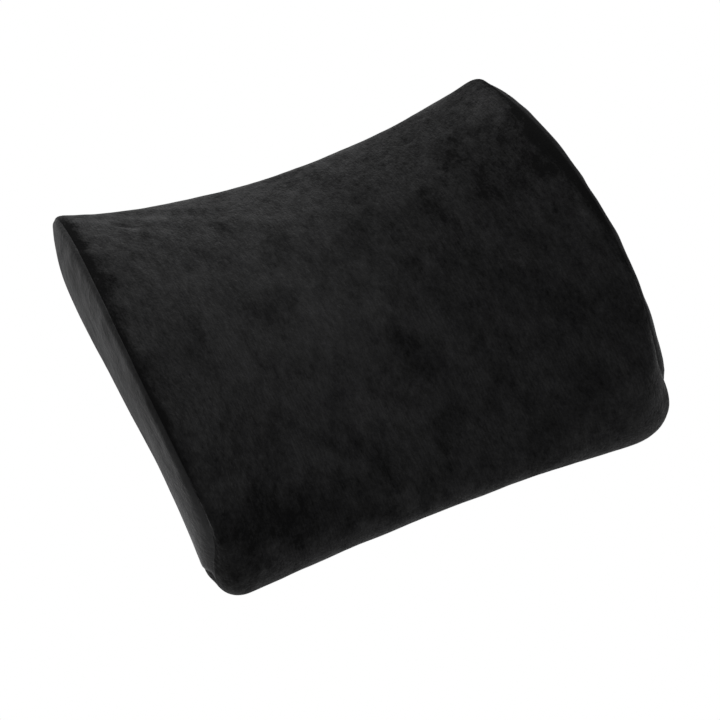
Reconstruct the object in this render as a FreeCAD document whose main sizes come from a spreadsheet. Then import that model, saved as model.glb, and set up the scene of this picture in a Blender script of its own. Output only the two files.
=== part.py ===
"""Lumbar support cushion: a contoured foam block in a zipped fabric cover with a buckled elastic strap.

Frame, in millimetres: X runs across the cushion, Y from front (-) to back (+), Z up.
The origin is the middle of the bottom edge of the flat back face, which lies in the plane Y = 0.
"""
import FreeCAD, Part
import os
from FreeCAD import Placement, Rotation, Vector

# name, value, meaning. Lengths are in millimetres.
SIZES = [
    ("width", 330.0, "overall width across the side panels"),
    ("height", 310.0, "overall height at the side seams"),
    ("seam_half", 152.0, "half the width between the two front seams"),
    ("side_depth_foot", 51.0, "depth at the side seams where the bottom roll begins"),
    ("side_depth_low", 80.0, "depth at the side seams, a quarter of the way up"),
    ("side_depth_mid", 88.0, "depth at the side seams, halfway up"),
    ("side_depth_high", 74.0, "depth at the side seams, three quarters of the way up"),
    ("side_depth_head", 51.0, "depth at the side seams where the top roll begins"),
    ("mid_depth_foot", 29.0, "depth on the centre line where the bottom roll begins"),
    ("mid_depth_low", 44.5, "depth on the centre line, a quarter of the way up"),
    ("mid_depth_mid", 66.5, "depth on the centre line, halfway up"),
    ("mid_depth_high", 57.5, "depth on the centre line, three quarters of the way up"),
    ("mid_depth_head", 26.0, "depth on the centre line where the top roll begins"),
    ("bottom_sweep", 8.5, "how far the bottom edge curves in at the centre"),
    ("top_sweep", 10.5, "how far the top edge curves in at the centre"),
    ("bottom_round", 19.0, "reach of the bottom roll"),
    ("top_round", 14.0, "reach of the top roll"),
    ("cover", 1.6, "thickness of the pile fabric"),
    ("fabric_gap", 1.2, "room between cover and liner"),
    ("end_room", 2.2, "extra room between cover and liner at the rolled ends"),
    ("liner", 0.8, "thickness of the knitted liner"),
    ("core_gap", 0.2, "room between liner and foam"),
    ("zip_room", 2.8, "extra room behind the back panels for the zip"),
    ("seam_gap", 0.3, "gap between two panels at a seam"),
    ("back_seam_low", 26.0, "height of the seam between front panel and back panel at the bottom"),
    ("back_seam_high", 282.0, "height of the seam between front panel and back panel at the top"),
    ("zip_line", 72.0, "height of the zip"),
    ("zip_window", 11.0, "visible opening between the two back panels"),
    ("tape_length", 300.0, "length of each zip tape"),
    ("tape_width", 13.0, "width of each zip tape"),
    ("tape_thick", 0.6, "thickness of a zip tape"),
    ("tape_depth", 3.2, "distance of the inner face of the tapes behind the back face"),
    ("tape_split", 2.6, "gap between the two tapes"),
    ("coil_wide", 1.9, "width of one coil"),
    ("coil_thick", 1.6, "thickness of a coil"),
    ("coil_start", -140.0, "X of the open end of the coils"),
    ("slider_rest", 132.0, "X of the slider centre with the zip closed"),
    ("slider_long", 11.0, "length of the slider"),
    ("slider_wide", 8.4, "width of the slider"),
    ("slider_plate", 1.0, "thickness of a slider plate"),
    ("tab_long", 27.0, "length of the pull tab from its pin"),
    ("tab_wide", 7.0, "width of the pull tab"),
    ("tab_thick", 1.2, "thickness of the pull tab"),
    ("tab_pin", 0.6, "radius of the pull tab's pin"),
    ("pin_clearance", 0.08, "radial running clearance of pins"),
    ("strap_line", 172.0, "height of the strap"),
    ("strap_width", 25.0, "width of the elastic webbing"),
    ("strap_thick", 1.8, "thickness of the webbing"),
    ("strap_rise", 1.4, "gap between back face and strap"),
    ("bar_out", 4.7, "Y of the webbing bars of the buckle"),
    ("bar_thick", 1.35, "radius of a webbing bar"),
    ("male_bar", -22.0, "X of the webbing bar of the male half"),
    ("female_bar", 31.0, "X of the webbing bar of the female half"),
    ("tail_end", -100.0, "X of the loose end of the strap"),
    ("buckle_low", 0.9, "Y of the inner face of the buckle"),
    ("buckle_thick", 8.0, "thickness of the buckle"),
    ("buckle_half", 18.5, "half the width of the buckle"),
    ("buckle_wall", 1.3, "wall thickness of the buckle"),
    ("prong_root", -9.5, "X of the pivot of a release prong"),
    ("prong_offset", 10.5, "distance of a prong pivot from the strap line"),
    ("prong_round", 2.0, "radius of a prong's root"),
    ("keeper_place", -88.0, "X of the left edge of the keeper"),
    ("keeper_long", 8.0, "length of the keeper along the strap"),
]

DEPTH_STATIONS = ("foot", "low", "mid", "high", "head")
QUARTERS = (0.25, 0.5, 0.75)
# Share of the full profile that is left at each share of the side panel's outward swell.
SWELL_STEPS = ((0.0, 1.0), (0.45, 0.90), (0.8, 0.72), (1.0, 0.46))
SWELL_SHORTEN = 30.0
WIDTH_SHARES = (-1.0, -0.75, -0.5, -0.25, 0.0, 0.25, 0.5, 0.75, 1.0)

doc = FreeCAD.newDocument("lumbar_support_cushion")
sheet = doc.addObject("Spreadsheet::Sheet", "Sizes")
for row, (alias, value, meaning) in enumerate(SIZES, start=1):
    sheet.set(f"A{row}", alias)
    sheet.set(f"B{row}", str(value))
    sheet.set(f"C{row}", meaning)
    sheet.setAlias(f"B{row}", alias)
doc.recompute()


def size(alias):
    """The value of a driving dimension, read from the sheet."""
    return float(sheet.get(alias))


# ---------------------------------------------------------------- soft pieces

def depth_at(station, share):
    """Depth of the front face at a height station; share is -1 and 1 at the seams, 0 at the centre."""
    centre = size("mid_depth_" + station)
    side = size("side_depth_" + station)
    return centre + (side - centre) * share * share


def profile(x, share, insets, keep=1.0):
    """Closed outline of the cushion in the plane X = x. insets says how far it is set in from the front,
    the back and both ends. keep below 1 draws it in towards its own middle, as on a swollen side."""
    skin, back_skin, end_skin = insets
    shorten = end_skin + (1.0 - keep) * SWELL_SHORTEN
    low = size("bottom_sweep") * (1.0 - share * share) + shorten
    high = size("height") - size("top_sweep") * (1.0 - share * share) - shorten
    fronts = []
    backs = []
    for station in DEPTH_STATIONS:
        front = depth_at(station, share) - skin
        middle = (front + back_skin) / 2.0
        half = keep * (front - back_skin) / 2.0
        fronts.append(-middle - half)
        backs.append(-middle + half)
    low_roll = min(size("bottom_round"), 0.49 * (backs[0] - fronts[0]))
    high_roll = min(size("top_round"), 0.49 * (backs[-1] - fronts[-1]))
    bottom = low + low_roll
    top = high - high_roll
    heights = [bottom] + [size("height") * quarter for quarter in QUARTERS] + [top]
    face = [Vector(x, y, z) for y, z in zip(fronts, heights)]
    rear = [Vector(x, y, z) for y, z in zip(backs, heights)]
    front_curve = Part.BSplineCurve()
    front_curve.interpolate(face)
    rear_curve = Part.BSplineCurve()
    rear_curve.interpolate(rear[::-1])
    top_arc = Part.Arc(face[-1], Vector(x, (fronts[-1] + backs[-1]) / 2.0, high), rear[-1])
    bottom_arc = Part.Arc(rear[0], Vector(x, (fronts[0] + backs[0]) / 2.0, low), face[0])
    edges = [curve.toShape() for curve in (front_curve, top_arc, rear_curve, bottom_arc)]
    return Part.Wire(edges)


def middle_block(insets):
    """The cushion between its side seams."""
    reach = size("seam_half")
    wires = [profile(share * reach, share, insets) for share in WIDTH_SHARES]
    return Part.makeLoft(wires, True)


def side_block(side, insets, start=0.0):
    """The swollen end of the cushion beyond a side seam; side is -1 at the left and 1 at the right."""
    reach = size("width") / 2.0 - size("seam_half") - start - insets[0]
    wires = []
    for step, keep in SWELL_STEPS:
        x = side * (size("seam_half") + start + reach * step)
        wires.append(profile(x, 1.0, insets, keep))
    return Part.makeLoft(wires, True)


def whole_block(insets):
    """The complete cushion shape, set in on every side."""
    ends = [side_block(side, insets) for side in (-1, 1)]
    return middle_block(insets).fuse(ends).removeSplitter()


def set_in(insets, more):
    """The same insets, each deeper by more."""
    return tuple(inset + more for inset in insets)


def slab(low_z, high_z, depth):
    """A block that holds everything within depth of the back face between two heights."""
    reach = size("seam_half") + 1.0
    return Part.makeBox(2 * reach, depth + 1.0, high_z - low_z, Vector(-reach, -depth, low_z))


def feature(label, shape):
    """A sub-part whose freeform shape is set directly."""
    item = doc.addObject("Part::Feature", label)
    item.Shape = shape
    item.Placement = Placement()
    item.Label = label
    return item


def soft_pieces():
    """Foam core, its liner and the three curved panels of the cover."""
    outside = (0.0, 0.0, 0.0)
    inside = set_in(outside, size("cover"))
    skin = size("cover") + size("fabric_gap")
    liner = (skin, skin + size("zip_room"), skin + size("end_room"))
    lined = set_in(liner, size("liner"))
    core = set_in(lined, size("core_gap"))
    tube = middle_block(outside).cut(middle_block(inside))
    low = size("back_seam_low")
    high = size("back_seam_high")
    gap = size("seam_gap")
    reach = size("cover") + 0.2
    nodes = [
        feature("foam_core", whole_block(core)),
        feature("inner_liner", whole_block(liner).cut(whole_block(lined))),
        feature("front_panel", tube.cut(slab(low, high, reach))),
    ]
    for side, label in ((-1, "side_panel_left"), (1, "side_panel_right")):
        outer = side_block(side, outside, gap)
        inner = side_block(side, inside, gap)
        nodes.append(feature(label, outer.cut(inner)))
    return nodes


def ribbon(label, path):
    """Webbing of the strap's width and thickness, whose side view follows path in the XY plane."""
    outline = Part.Wire(path).makeOffset2D(size("strap_thick") / 2.0)
    face = Part.Face(outline)
    face.translate(Vector(0, 0, size("strap_line") - size("strap_width") / 2.0))
    return feature(label, face.extrude(Vector(0, 0, size("strap_width"))))


def strap_path(start, bar, direction, tail):
    """Centre line of a strap from its sewn end, round a bar and back to its free end."""
    low = size("strap_rise") + size("strap_thick") / 2.0
    bar_y = size("bar_out")
    turn = bar_y - low
    high = bar_y + turn
    rest = low + size("strap_thick") + 0.4
    sewn = Vector(start, low, 0)
    leave = Vector(bar, low, 0)
    tip = Vector(bar + direction * turn, bar_y, 0)
    back = Vector(bar, high, 0)
    over = Vector(bar - direction * 13.0, high, 0)
    down = Vector(bar - direction * 22.0, rest, 0)
    end = Vector(tail, rest, 0)
    return [
        Part.makeLine(sewn, leave),
        Part.Arc(leave, tip, back).toShape(),
        Part.makeLine(back, over),
        Part.makeLine(over, down),
        Part.makeLine(down, end),
    ]


def strap_pieces():
    """The two elastic straps: the left one is adjustable, the right one is a sewn loop."""
    sewn = size("seam_half") - 1.5
    left = strap_path(-sewn, size("male_bar"), 1, size("tail_end"))
    right = strap_path(sewn, size("female_bar"), -1, size("female_bar") + 38.0)
    return [ribbon("strap_left", left), ribbon("strap_right", right)]


# ---------------------------------------------------------------- hard pieces

def cell(text):
    """Turns words in braces into references to the sheet."""
    return text.replace("{", "Sizes.").replace("}", "")


def place(item, x, y, z):
    """Binds a primitive's corner or axis point to the sheet."""
    for axis, text in zip("xyz", (x, y, z)):
        item.setExpression("Placement.Base." + axis, cell(text))
    return item


def box(name, x, y, z, long, deep, tall):
    """A block with its low corner at x, y, z; every value is an expression."""
    item = doc.addObject("Part::Box", name)
    for key, text in (("Length", long), ("Width", deep), ("Height", tall)):
        item.setExpression(key, cell(text))
    return place(item, x, y, z)


def rod(name, x, y, z, radius, tall):
    """A cylinder that stands on x, y, z and runs along Z."""
    item = doc.addObject("Part::Cylinder", name)
    item.setExpression("Radius", cell(radius))
    item.setExpression("Height", cell(tall))
    return place(item, x, y, z)


def stud(name, x, y, z, radius, tall):
    """A cylinder that stands on x, y, z and runs along +Y."""
    item = rod(name, x, y, z, radius, tall)
    item.Placement = Placement(Vector(), Rotation(Vector(1, 0, 0), -90))
    return place(item, x, y, z)


def join(name, pieces):
    """Fuses several solids into one."""
    item = doc.addObject("Part::MultiFuse", name)
    item.Shapes = pieces
    item.Refine = True
    return item


def cut(name, base, tool):
    """Takes tool away from base."""
    item = doc.addObject("Part::Cut", name)
    item.Base = base
    item.Tool = tool
    return item


def round_edges(name, base, radius, wanted):
    """Rounds the edges of base that wanted accepts."""
    doc.recompute()
    item = doc.addObject("Part::Fillet", name)
    item.Base = base
    chosen = [n for n, edge in enumerate(base.Shape.Edges, start=1) if wanted(edge)]
    item.Edges = [(n, radius, radius) for n in chosen]
    return item


def every_edge(edge):
    """Accepts all edges."""
    return True


def runs_along(edge, axis):
    """True for a straight edge parallel to axis."""
    if edge.Curve.TypeId != "Part::GeomLine":
        return False
    return abs(edge.tangentAt(edge.FirstParameter).dot(axis)) > 0.999


def back_panels():
    """The two flat panels that close the back, one above and one below the zip."""
    lower_top = "{zip_line}-{zip_window}/2"
    upper_low = "{zip_line}+{zip_window}/2"
    spans = (("back_panel_lower", "{back_seam_low}+{seam_gap}", lower_top),
             ("back_panel_upper", upper_low, "{back_seam_high}-{seam_gap}"))
    return [box(label, "-{seam_half}", "-{cover}", low, "2*{seam_half}", "{cover}", f"{high}-({low})")
            for label, low, high in spans]


def zip_pieces():
    """Two tapes, two coils, the stops, the slider and its pull tab."""
    nodes = []
    tape_y = "-{tape_depth}"
    coil_y = "{tape_thick}-{tape_depth}+0.1"
    coil_end = "{slider_rest}+1.2"
    coil_long = coil_end + "-({coil_start})"
    for label, sign in (("upper", 1), ("lower", -1)):
        edge = "{zip_line}+{tape_split}/2" if sign > 0 else "{zip_line}-{tape_split}/2-{tape_width}"
        nodes.append(box("zip_tape_" + label, "-{tape_length}/2", tape_y, edge,
                         "{tape_length}", "{tape_thick}", "{tape_width}"))
        inner = "{zip_line}+0.1" if sign > 0 else "{zip_line}-0.1-{coil_wide}"
        bar = box("coil_bar_" + label, "{coil_start}", coil_y, inner,
                  coil_long, "{coil_thick}", "{coil_wide}")
        along_x = Vector(1, 0, 0)
        nodes.append(round_edges("zip_coil_" + label, bar, 0.6, lambda edge: runs_along(edge, along_x)))
    stops = []
    for name, low in (("top_stop_upper", "{zip_line}+1.5"), ("top_stop_lower", "{zip_line}-3.3")):
        stops.append(box(name, "{slider_rest}+{slider_long}/2+0.5", coil_y, low, "2.4", "1.5", "1.8"))
    group = doc.addObject("Part::Compound", "zip_top_stops")
    group.Links = stops
    nodes.append(group)
    nodes.append(box("zip_bottom_stop", "{coil_start}-3.4", coil_y, "{zip_line}-2.6", "3.0", "1.5", "5.2"))
    return nodes + [slider(), pull_tab()]


def slider():
    """Two plates joined by a wedge post, with side flanges and the bridge that holds the pull tab."""
    start = "{slider_rest}-{slider_long}/2"
    edge = "{zip_line}-{slider_wide}/2"
    plates = [
        box("slider_top", start, "-0.7", edge, "{slider_long}", "{slider_plate}", "{slider_wide}"),
        box("slider_base", start, "-{tape_depth}-0.3-{slider_plate}", edge,
            "{slider_long}", "{slider_plate}", "{slider_wide}"),
    ]
    along_y = Vector(0, 1, 0)
    rounded = []
    for plate in plates:
        plan = round_edges(plate.Name + "_plan", plate, 2.2, lambda e: runs_along(e, along_y))
        rounded.append(round_edges(plate.Name + "_soft", plan, 0.3, every_edge))
    flange_y = "{tape_thick}-{tape_depth}+0.2"
    flanges = []
    for name, low in (("flange_upper", "{zip_line}+2.5"), ("flange_lower", "{zip_line}-2.5-1.5")):
        flanges.append(box(name, start + "+1", flange_y, low, "{slider_long}-2", "1.9", "1.5"))
    post = box("slider_post", "{slider_rest}+2", "-{tape_depth}-0.5", "{zip_line}-0.9", "2.6", "3.2", "1.8")
    bridge = box("slider_bridge_block", "{slider_rest}-3", "0.2", "{zip_line}-0.9", "6", "2.7", "1.8")
    arch = round_edges("slider_bridge", bridge, 1.0,
                       lambda e: runs_along(e, Vector(0, 0, 1)) and e.CenterOfMass.y > 1.0)
    eye = rod("slider_eye", "{slider_rest}", "1.5", "{zip_line}-2", "{tab_pin}+{pin_clearance}", "4")
    body = join("slider_body", rounded + flanges + [post, arch])
    return cut("zip_slider", body, eye)


def pull_tab():
    """A flat tab with two legs and the cross pin that it turns on."""
    thick = "1.5-{tab_thick}/2"
    pin = rod("tab_pin_rod", "{slider_rest}", "1.5", "{zip_line}-2.4", "{tab_pin}", "4.8")
    legs = []
    for name, low in (("tab_leg_upper", "{zip_line}+1.3"), ("tab_leg_lower", "{zip_line}-1.3-1.1")):
        leg = box(name, "{slider_rest}-5.4", thick, low, "6", "{tab_thick}", "1.1")
        legs.append(round_edges(name + "_rounded", leg, 0.3, every_edge))
    plate = box("tab_plate", "{slider_rest}-{tab_long}", thick, "{zip_line}-{tab_wide}/2",
                "{tab_long}-4.4", "{tab_thick}", "{tab_wide}")
    plan = round_edges("tab_plate_plan", plate, 2.4, lambda e: runs_along(e, Vector(0, 1, 0)))
    rounded = round_edges("tab_plate_rounded", plan, 0.3, every_edge)
    hole = stud("tab_hole", "{slider_rest}-{tab_long}+4.5", "0", "{zip_line}", "1.6", "4")
    body = join("tab_body", [pin, rounded] + legs)
    return cut("zip_pull_tab", body, hole)


def webbing_frame(prefix, low_x, long, bar_x):
    """Two cheeks and the bar that a strap wraps round, as a list of solids."""
    bits = []
    for name, low in (("cheek_upper", "{strap_line}+13.2"), ("cheek_lower", "{strap_line}-13.2-3.4")):
        cheek = box(prefix + name, low_x, "{buckle_low}+0.3", low, long, "{buckle_thick}-0.6", "3.4")
        bits.append(round_edges(prefix + name + "_rounded", cheek, 1.0, every_edge))
    bits.append(rod(prefix + "bar", bar_x, "{bar_out}", "{strap_line}-14", "{bar_thick}", "28"))
    return bits


def male_half():
    """Webbing frame, grip bar, solid base and centre tongue, with a pocket for each release prong."""
    base = box("male_base", "-16", "{buckle_low}", "{strap_line}-16.6", "9.5", "{buckle_thick}", "33.2")
    base = round_edges("male_base_rounded", base, 1.2, every_edge)
    tongue = box("male_tongue", "-8", "{buckle_low}+1.9", "{strap_line}-2.5", "22", "{buckle_thick}-3.8", "5")
    tongue = round_edges("male_tongue_rounded", tongue, 1.0, every_edge)
    grip = box("male_grip", "-35.2", "{bar_out}-1.1", "{strap_line}-14", "3.2", "2.2", "28")
    grip = round_edges("male_grip_rounded", grip, 0.6, lambda e: runs_along(e, Vector(0, 0, 1)))
    frame = webbing_frame("male_", "-36", "23", "{male_bar}")
    body = join("male_body", [base, tongue, grip] + frame)
    pockets = []
    for name, sign in (("pocket_upper", "+"), ("pocket_lower", "-")):
        middle = "{strap_line}" + sign + "{prong_offset}"
        pockets.append(stud(name, "{prong_root}", "{buckle_low}+1.5", middle,
                            "{prong_round}+{pin_clearance}", "{buckle_thick}-3"))
        pockets.append(box(name + "_mouth", "{prong_root}", "{buckle_low}+1.5", middle + "-3.6",
                           "6", "{buckle_thick}-3", "7.2"))
    return cut("buckle_male", body, join("male_pockets", pockets))


def female_half():
    """A flat sleeve open towards the male half, with side windows for the prong heads."""
    low_z = "{strap_line}-{buckle_half}"
    sleeve = box("female_sleeve", "-6", "{buckle_low}", low_z, "28", "{buckle_thick}", "2*{buckle_half}")
    sleeve = round_edges("female_sleeve_rounded", sleeve, 1.3, every_edge)
    frame = webbing_frame("female_", "18", "17", "{female_bar}")
    body = join("female_body", [sleeve] + frame)
    hollow = box("female_hollow", "-7", "{buckle_low}+{buckle_wall}", low_z + "+2",
                 "26", "{buckle_thick}-2*{buckle_wall}", "2*{buckle_half}-4")
    window = box("female_window", "2.5", "{buckle_low}+{buckle_wall}", low_z + "-1",
                 "12.5", "{buckle_thick}-2*{buckle_wall}", "2*{buckle_half}+2")
    notch = stud("female_notch", "-6", "{buckle_low}-1", "{strap_line}", "5.5", "{buckle_thick}+2")
    panel = box("female_panel", "3", "{buckle_low}+{buckle_thick}-0.4", "{strap_line}-11", "15", "1", "22")
    panel = round_edges("female_panel_rounded", panel, 2.5, lambda e: runs_along(e, Vector(0, 1, 0)))
    return cut("buckle_female", body, join("female_cuts", [hollow, window, notch, panel]))


# Plan outline of the upper prong, along and across the strap from its pivot.
PRONG_OUTLINE = [(-1.3, -1.4), (0.0, -1.9), (20.0, -1.2), (23.4, 1.0), (21.5, 7.6), (13.2, 8.2),
                 (12.6, 7.4), (12.6, 3.4), (2.0, 2.0), (0.0, 1.9), (-1.3, 1.4)]


def prong(label, sign):
    """A release prong: a PartDesign pad of its plan outline, mirrored for the lower one."""
    along_y = Vector(0, 1, 0)
    body = doc.addObject("PartDesign::Body", label)
    sketch = body.newObject("Sketcher::SketchObject", label + "_outline")
    plane = [item for item in body.Origin.OriginFeatures if item.Role == "XZ_Plane"][0]
    sketch.AttachmentSupport = [(plane, "")]
    sketch.MapMode = "FlatFace"
    corners = [Vector(x, sign * z, 0) for x, z in PRONG_OUTLINE]
    for first, second in zip(corners, corners[1:] + corners[:1]):
        sketch.addGeometry(Part.LineSegment(first, second))
    pad = body.newObject("PartDesign::Pad", label + "_pad")
    pad.Profile = sketch
    pad.setExpression("Length", cell("{buckle_thick}-3.6"))
    pad.Reversed = True
    doc.recompute()
    level = [edge for edge in range(len(pad.Shape.Edges)) if not runs_along(pad.Shape.Edges[edge], along_y)]
    edges = body.newObject("PartDesign::Fillet", label + "_edges")
    edges.Base = (pad, [f"Edge{number + 1}" for number in level])
    edges.Radius = 0.5
    body.Tip = edges
    for axis, text in (("x", "{prong_root}"), ("y", "{buckle_low}+1.8")):
        body.setExpression("Placement.Base." + axis, cell(text))
    middle = "{strap_line}" + ("+" if sign > 0 else "-") + "{prong_offset}"
    body.setExpression("Placement.Base.z", cell(middle))
    return body


def keeper():
    """The elastic loop that holds the loose end against the strap."""
    inner_low = "{strap_rise}-0.3"
    inner_tall = "2*{strap_thick}+1.1"
    outer = box("keeper_outer", "{keeper_place}", inner_low + "-0.9", "{strap_line}-{strap_width}/2-1.6",
                "{keeper_long}", inner_tall + "+1.8", "{strap_width}+3.2")
    outer = round_edges("keeper_outer_rounded", outer, 1.2, lambda e: runs_along(e, Vector(1, 0, 0)))
    inner = box("keeper_inner", "{keeper_place}-1", inner_low, "{strap_line}-{strap_width}/2-0.6",
                "{keeper_long}+2", inner_tall, "{strap_width}+1.2")
    return cut("strap_keeper", outer, inner)


def stitches(label, x, y, columns, pitch_x):
    """Rows of short thread stitches that lie on the webbing, as a group of solids."""
    count = 9
    pitch = 2.4
    solids = []
    for column in range(columns):
        for number in range(count):
            z = size("strap_line") + (number - (count - 1) / 2.0) * pitch
            thread = Part.makeCylinder(0.3, 1.7, Vector(x + column * pitch_x, y, z - 0.85), Vector(0, 0, 1))
            solids.append(thread)
    return feature(label, Part.makeCompound(solids))


def sewn_details():
    """Bartack of the right loop, hem stitching of the tail and the folded blank care label."""
    top = size("strap_rise") + 2 * size("strap_thick") + 0.4 + 0.35
    bartack = stitches("loop_bartack", size("female_bar") + 27.0, top, 4, 2.2)
    hem = stitches("tail_stitching", size("tail_end") + 3.0, top, 2, 4.0)
    label = box("care_label", "{seam_half}-27", "0.3", "108", "26", "0.7", "24")
    return [bartack, hem, label]


# ---------------------------------------------------------------- assembly

def check_and_write(nodes):
    """Stops on a failed object or a bad shape, then writes one STEP file per sub-part."""
    doc.recompute()
    for item in doc.Objects:
        if "Invalid" in item.State or "Error" in item.State:
            raise RuntimeError(f"{item.Name} failed: {item.State}")
    os.makedirs("parts", exist_ok=True)
    for node in nodes:
        shape = node.Shape
        if shape.isNull() or not shape.isValid() or not shape.Solids:
            raise RuntimeError(f"{node.Label} has no valid solid")
        shape.exportStep(os.path.join("parts", node.Label + ".step"))


all_nodes = soft_pieces() + back_panels() + strap_pieces() + zip_pieces()
all_nodes += [male_half(), female_half(), prong("buckle_arm_upper", 1), prong("buckle_arm_lower", -1)]
all_nodes += [keeper()] + sewn_details()
check_and_write(all_nodes)
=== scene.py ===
"""Looks of the lumbar support cushion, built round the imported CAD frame.

Row frame, in metres: X runs across the cushion, Y from front (-) to back (+), Z up in use.
The pile cover is modelled from a smooth form, a cloth simulation of its fullness, and seams added after it.
"""
import math

import bmesh
import bpy
import numpy as np
from mathutils import Matrix, Vector, noise
from mathutils.bvhtree import BVHTree
from mathutils.interpolate import poly_3d_calc


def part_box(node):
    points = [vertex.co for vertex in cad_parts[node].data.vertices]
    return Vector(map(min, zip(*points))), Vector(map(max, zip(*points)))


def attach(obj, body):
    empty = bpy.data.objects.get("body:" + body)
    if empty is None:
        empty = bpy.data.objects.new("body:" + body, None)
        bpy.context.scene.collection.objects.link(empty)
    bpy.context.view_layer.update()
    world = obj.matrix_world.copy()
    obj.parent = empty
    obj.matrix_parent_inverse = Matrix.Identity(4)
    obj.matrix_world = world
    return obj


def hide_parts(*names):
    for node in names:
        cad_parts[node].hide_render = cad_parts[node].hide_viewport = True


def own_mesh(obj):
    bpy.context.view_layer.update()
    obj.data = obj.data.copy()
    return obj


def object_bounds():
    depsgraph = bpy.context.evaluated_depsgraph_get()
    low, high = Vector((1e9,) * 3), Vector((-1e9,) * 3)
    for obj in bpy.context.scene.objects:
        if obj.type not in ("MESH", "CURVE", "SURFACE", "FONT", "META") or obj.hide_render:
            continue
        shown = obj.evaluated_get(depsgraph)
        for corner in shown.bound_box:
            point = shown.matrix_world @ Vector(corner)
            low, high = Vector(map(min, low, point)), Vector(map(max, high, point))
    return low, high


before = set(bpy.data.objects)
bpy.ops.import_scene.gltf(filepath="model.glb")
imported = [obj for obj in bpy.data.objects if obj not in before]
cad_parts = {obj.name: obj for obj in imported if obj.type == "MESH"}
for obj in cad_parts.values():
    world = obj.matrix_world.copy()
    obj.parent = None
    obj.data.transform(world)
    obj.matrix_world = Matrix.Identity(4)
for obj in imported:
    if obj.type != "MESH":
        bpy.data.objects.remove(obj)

CAD_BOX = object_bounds()
MM = 0.001
ROOT = "cushion"


# ------------------------------------------------------------------ sizes read from the frame

def low(node):
    """Lowest corner of a CAD node."""
    return Vector(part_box(node)[0])


def high(node):
    """Highest corner of a CAD node."""
    return Vector(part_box(node)[1])


HALF_WIDTH = high("side_panel_right").x
HEIGHT = 0.3083
SEAM_LOW = low("back_panel_lower").z
SEAM_HIGH = high("back_panel_upper").z
ZIP_LOW = high("back_panel_lower").z
ZIP_HIGH = low("back_panel_upper").z
ZIP_LINE = (ZIP_LOW + ZIP_HIGH) / 2
STRAP_LINE = (low("strap_left").z + high("strap_left").z) / 2
STRAP_WIDTH = high("strap_left").z - low("strap_left").z
FABRIC = 1.1 * MM

# Depth in front of the back plane at heights 0, 1/4, 1/2, 3/4 and 1, at the sides and on the centre line.
SIDE_DEPTHS = (0.0400, 0.0820, 0.0862, 0.0732, 0.0378)
MID_DEPTHS = (0.0328, 0.0472, 0.0643, 0.0553, 0.0145)
# Half width between seams at heights 0, 1/3, 2/3 and 1, on the front and on the back.
FRONT_HALVES = (0.1484, 0.1552, 0.1552, 0.1517)
BACK_HALVES = (0.1481, 0.1484, 0.1546, 0.1511)
# How far the sides swell out past their seams, at the foot, halfway and at the head.
SIDE_SWELL = (0.0108, 0.0092, 0.0097)
# Reach of the easing of the sides' swell towards the foot and the head.
SWELL_REACH = (0.0145, 0.0680)
# How much of the sides' swell the rolled ends take on where the sides close, at the foot and the head.
END_WIDEN = (0.62, 0.30)
# How far the back comes forward at its side seams.
BACK_LIFT = 0.003
# How far the ends draw in on the centre line, and the heights over which they roll over, at foot and head.
END_SWEEP = (0.0080, 0.0102)
END_ROLL = (0.0228, 0.0172)
# Corner radii seen from the front, left and right, at the foot and at the head.
FOOT_CORNERS = (0.0142, 0.0305)
HEAD_CORNERS = (0.0031, 0.0089)
# Reach of the side panel's taper at the foot and the head, along its front seam and its back seam.
FRONT_SEAM_CURL = (0.012, 0.014)
BACK_SEAM_CURL = (0.034, 0.030)
# Where the side panel's tips lie between its back edge (0) and its front edge (1), at the foot and the head.
LEAF_TIP = (0.88, 0.90)
# How much the edges of a level section are softened: everywhere, and on top of that near the foot and head.
SOFTEN = (1.0 * MM, 3.8 * MM)
SOFT_REACH = (0.024, 0.022)


def through(values):
    """A polynomial through values that stand at equal steps from 0 to 1."""
    at = np.linspace(0.0, 1.0, len(values))
    return np.polynomial.Polynomial.fit(at, values, len(values) - 1)


side_depth = through(SIDE_DEPTHS)
mid_depth = through(MID_DEPTHS)
front_half = through(FRONT_HALVES)
back_half = through(BACK_HALVES)
side_swell = through(SIDE_SWELL)


def corner_drop(share, radii, half):
    """How far a rounded corner falls back from the end line at a share of the half width."""
    radius = np.where(share < 0, radii[0], radii[1])
    over = np.clip(np.abs(share) * half - (half - radius), 0.0, radius)
    return radius - np.sqrt(np.maximum(radius * radius - over * over, 0.0))


def surfaces(share, up):
    """Front and back points at a share of the half width (-1 to 1) and of the height (0 to 1)."""
    share, up = np.broadcast_arrays(np.asarray(share, float), np.asarray(up, float))
    square = share ** 2
    front = mid_depth(up) * (1 - square) + side_depth(up) * square
    back = BACK_LIFT * square ** 4
    height = up * HEIGHT
    foot = np.clip((END_ROLL[0] - height) / END_ROLL[0], 0, 1)
    head = np.clip((END_ROLL[1] - (HEIGHT - height)) / END_ROLL[1], 0, 1)
    cap = np.sqrt(np.maximum(1 - foot ** 2, 0)) * np.sqrt(np.maximum(1 - head ** 2, 0))
    middle = (front + back) / 2
    half = (front - back) / 2
    below = END_SWEEP[0] * (1 - square) + corner_drop(share, FOOT_CORNERS, FRONT_HALVES[0])
    above = END_SWEEP[1] * (1 - square) + corner_drop(share, HEAD_CORNERS, FRONT_HALVES[-1])
    z = below + (HEIGHT - below - above) * up
    taken = np.where(up < 0.5, END_WIDEN[0], END_WIDEN[1])
    widen = side_swell(up) * taken * (1 - opening(up, SWELL_REACH))
    front_points = np.stack([share * (front_half(up) + widen), -(middle + half * cap), z], -1)
    back_points = np.stack([share * (back_half(up) + widen), -(middle - half * cap), z], -1)
    return front_points, back_points


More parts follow.
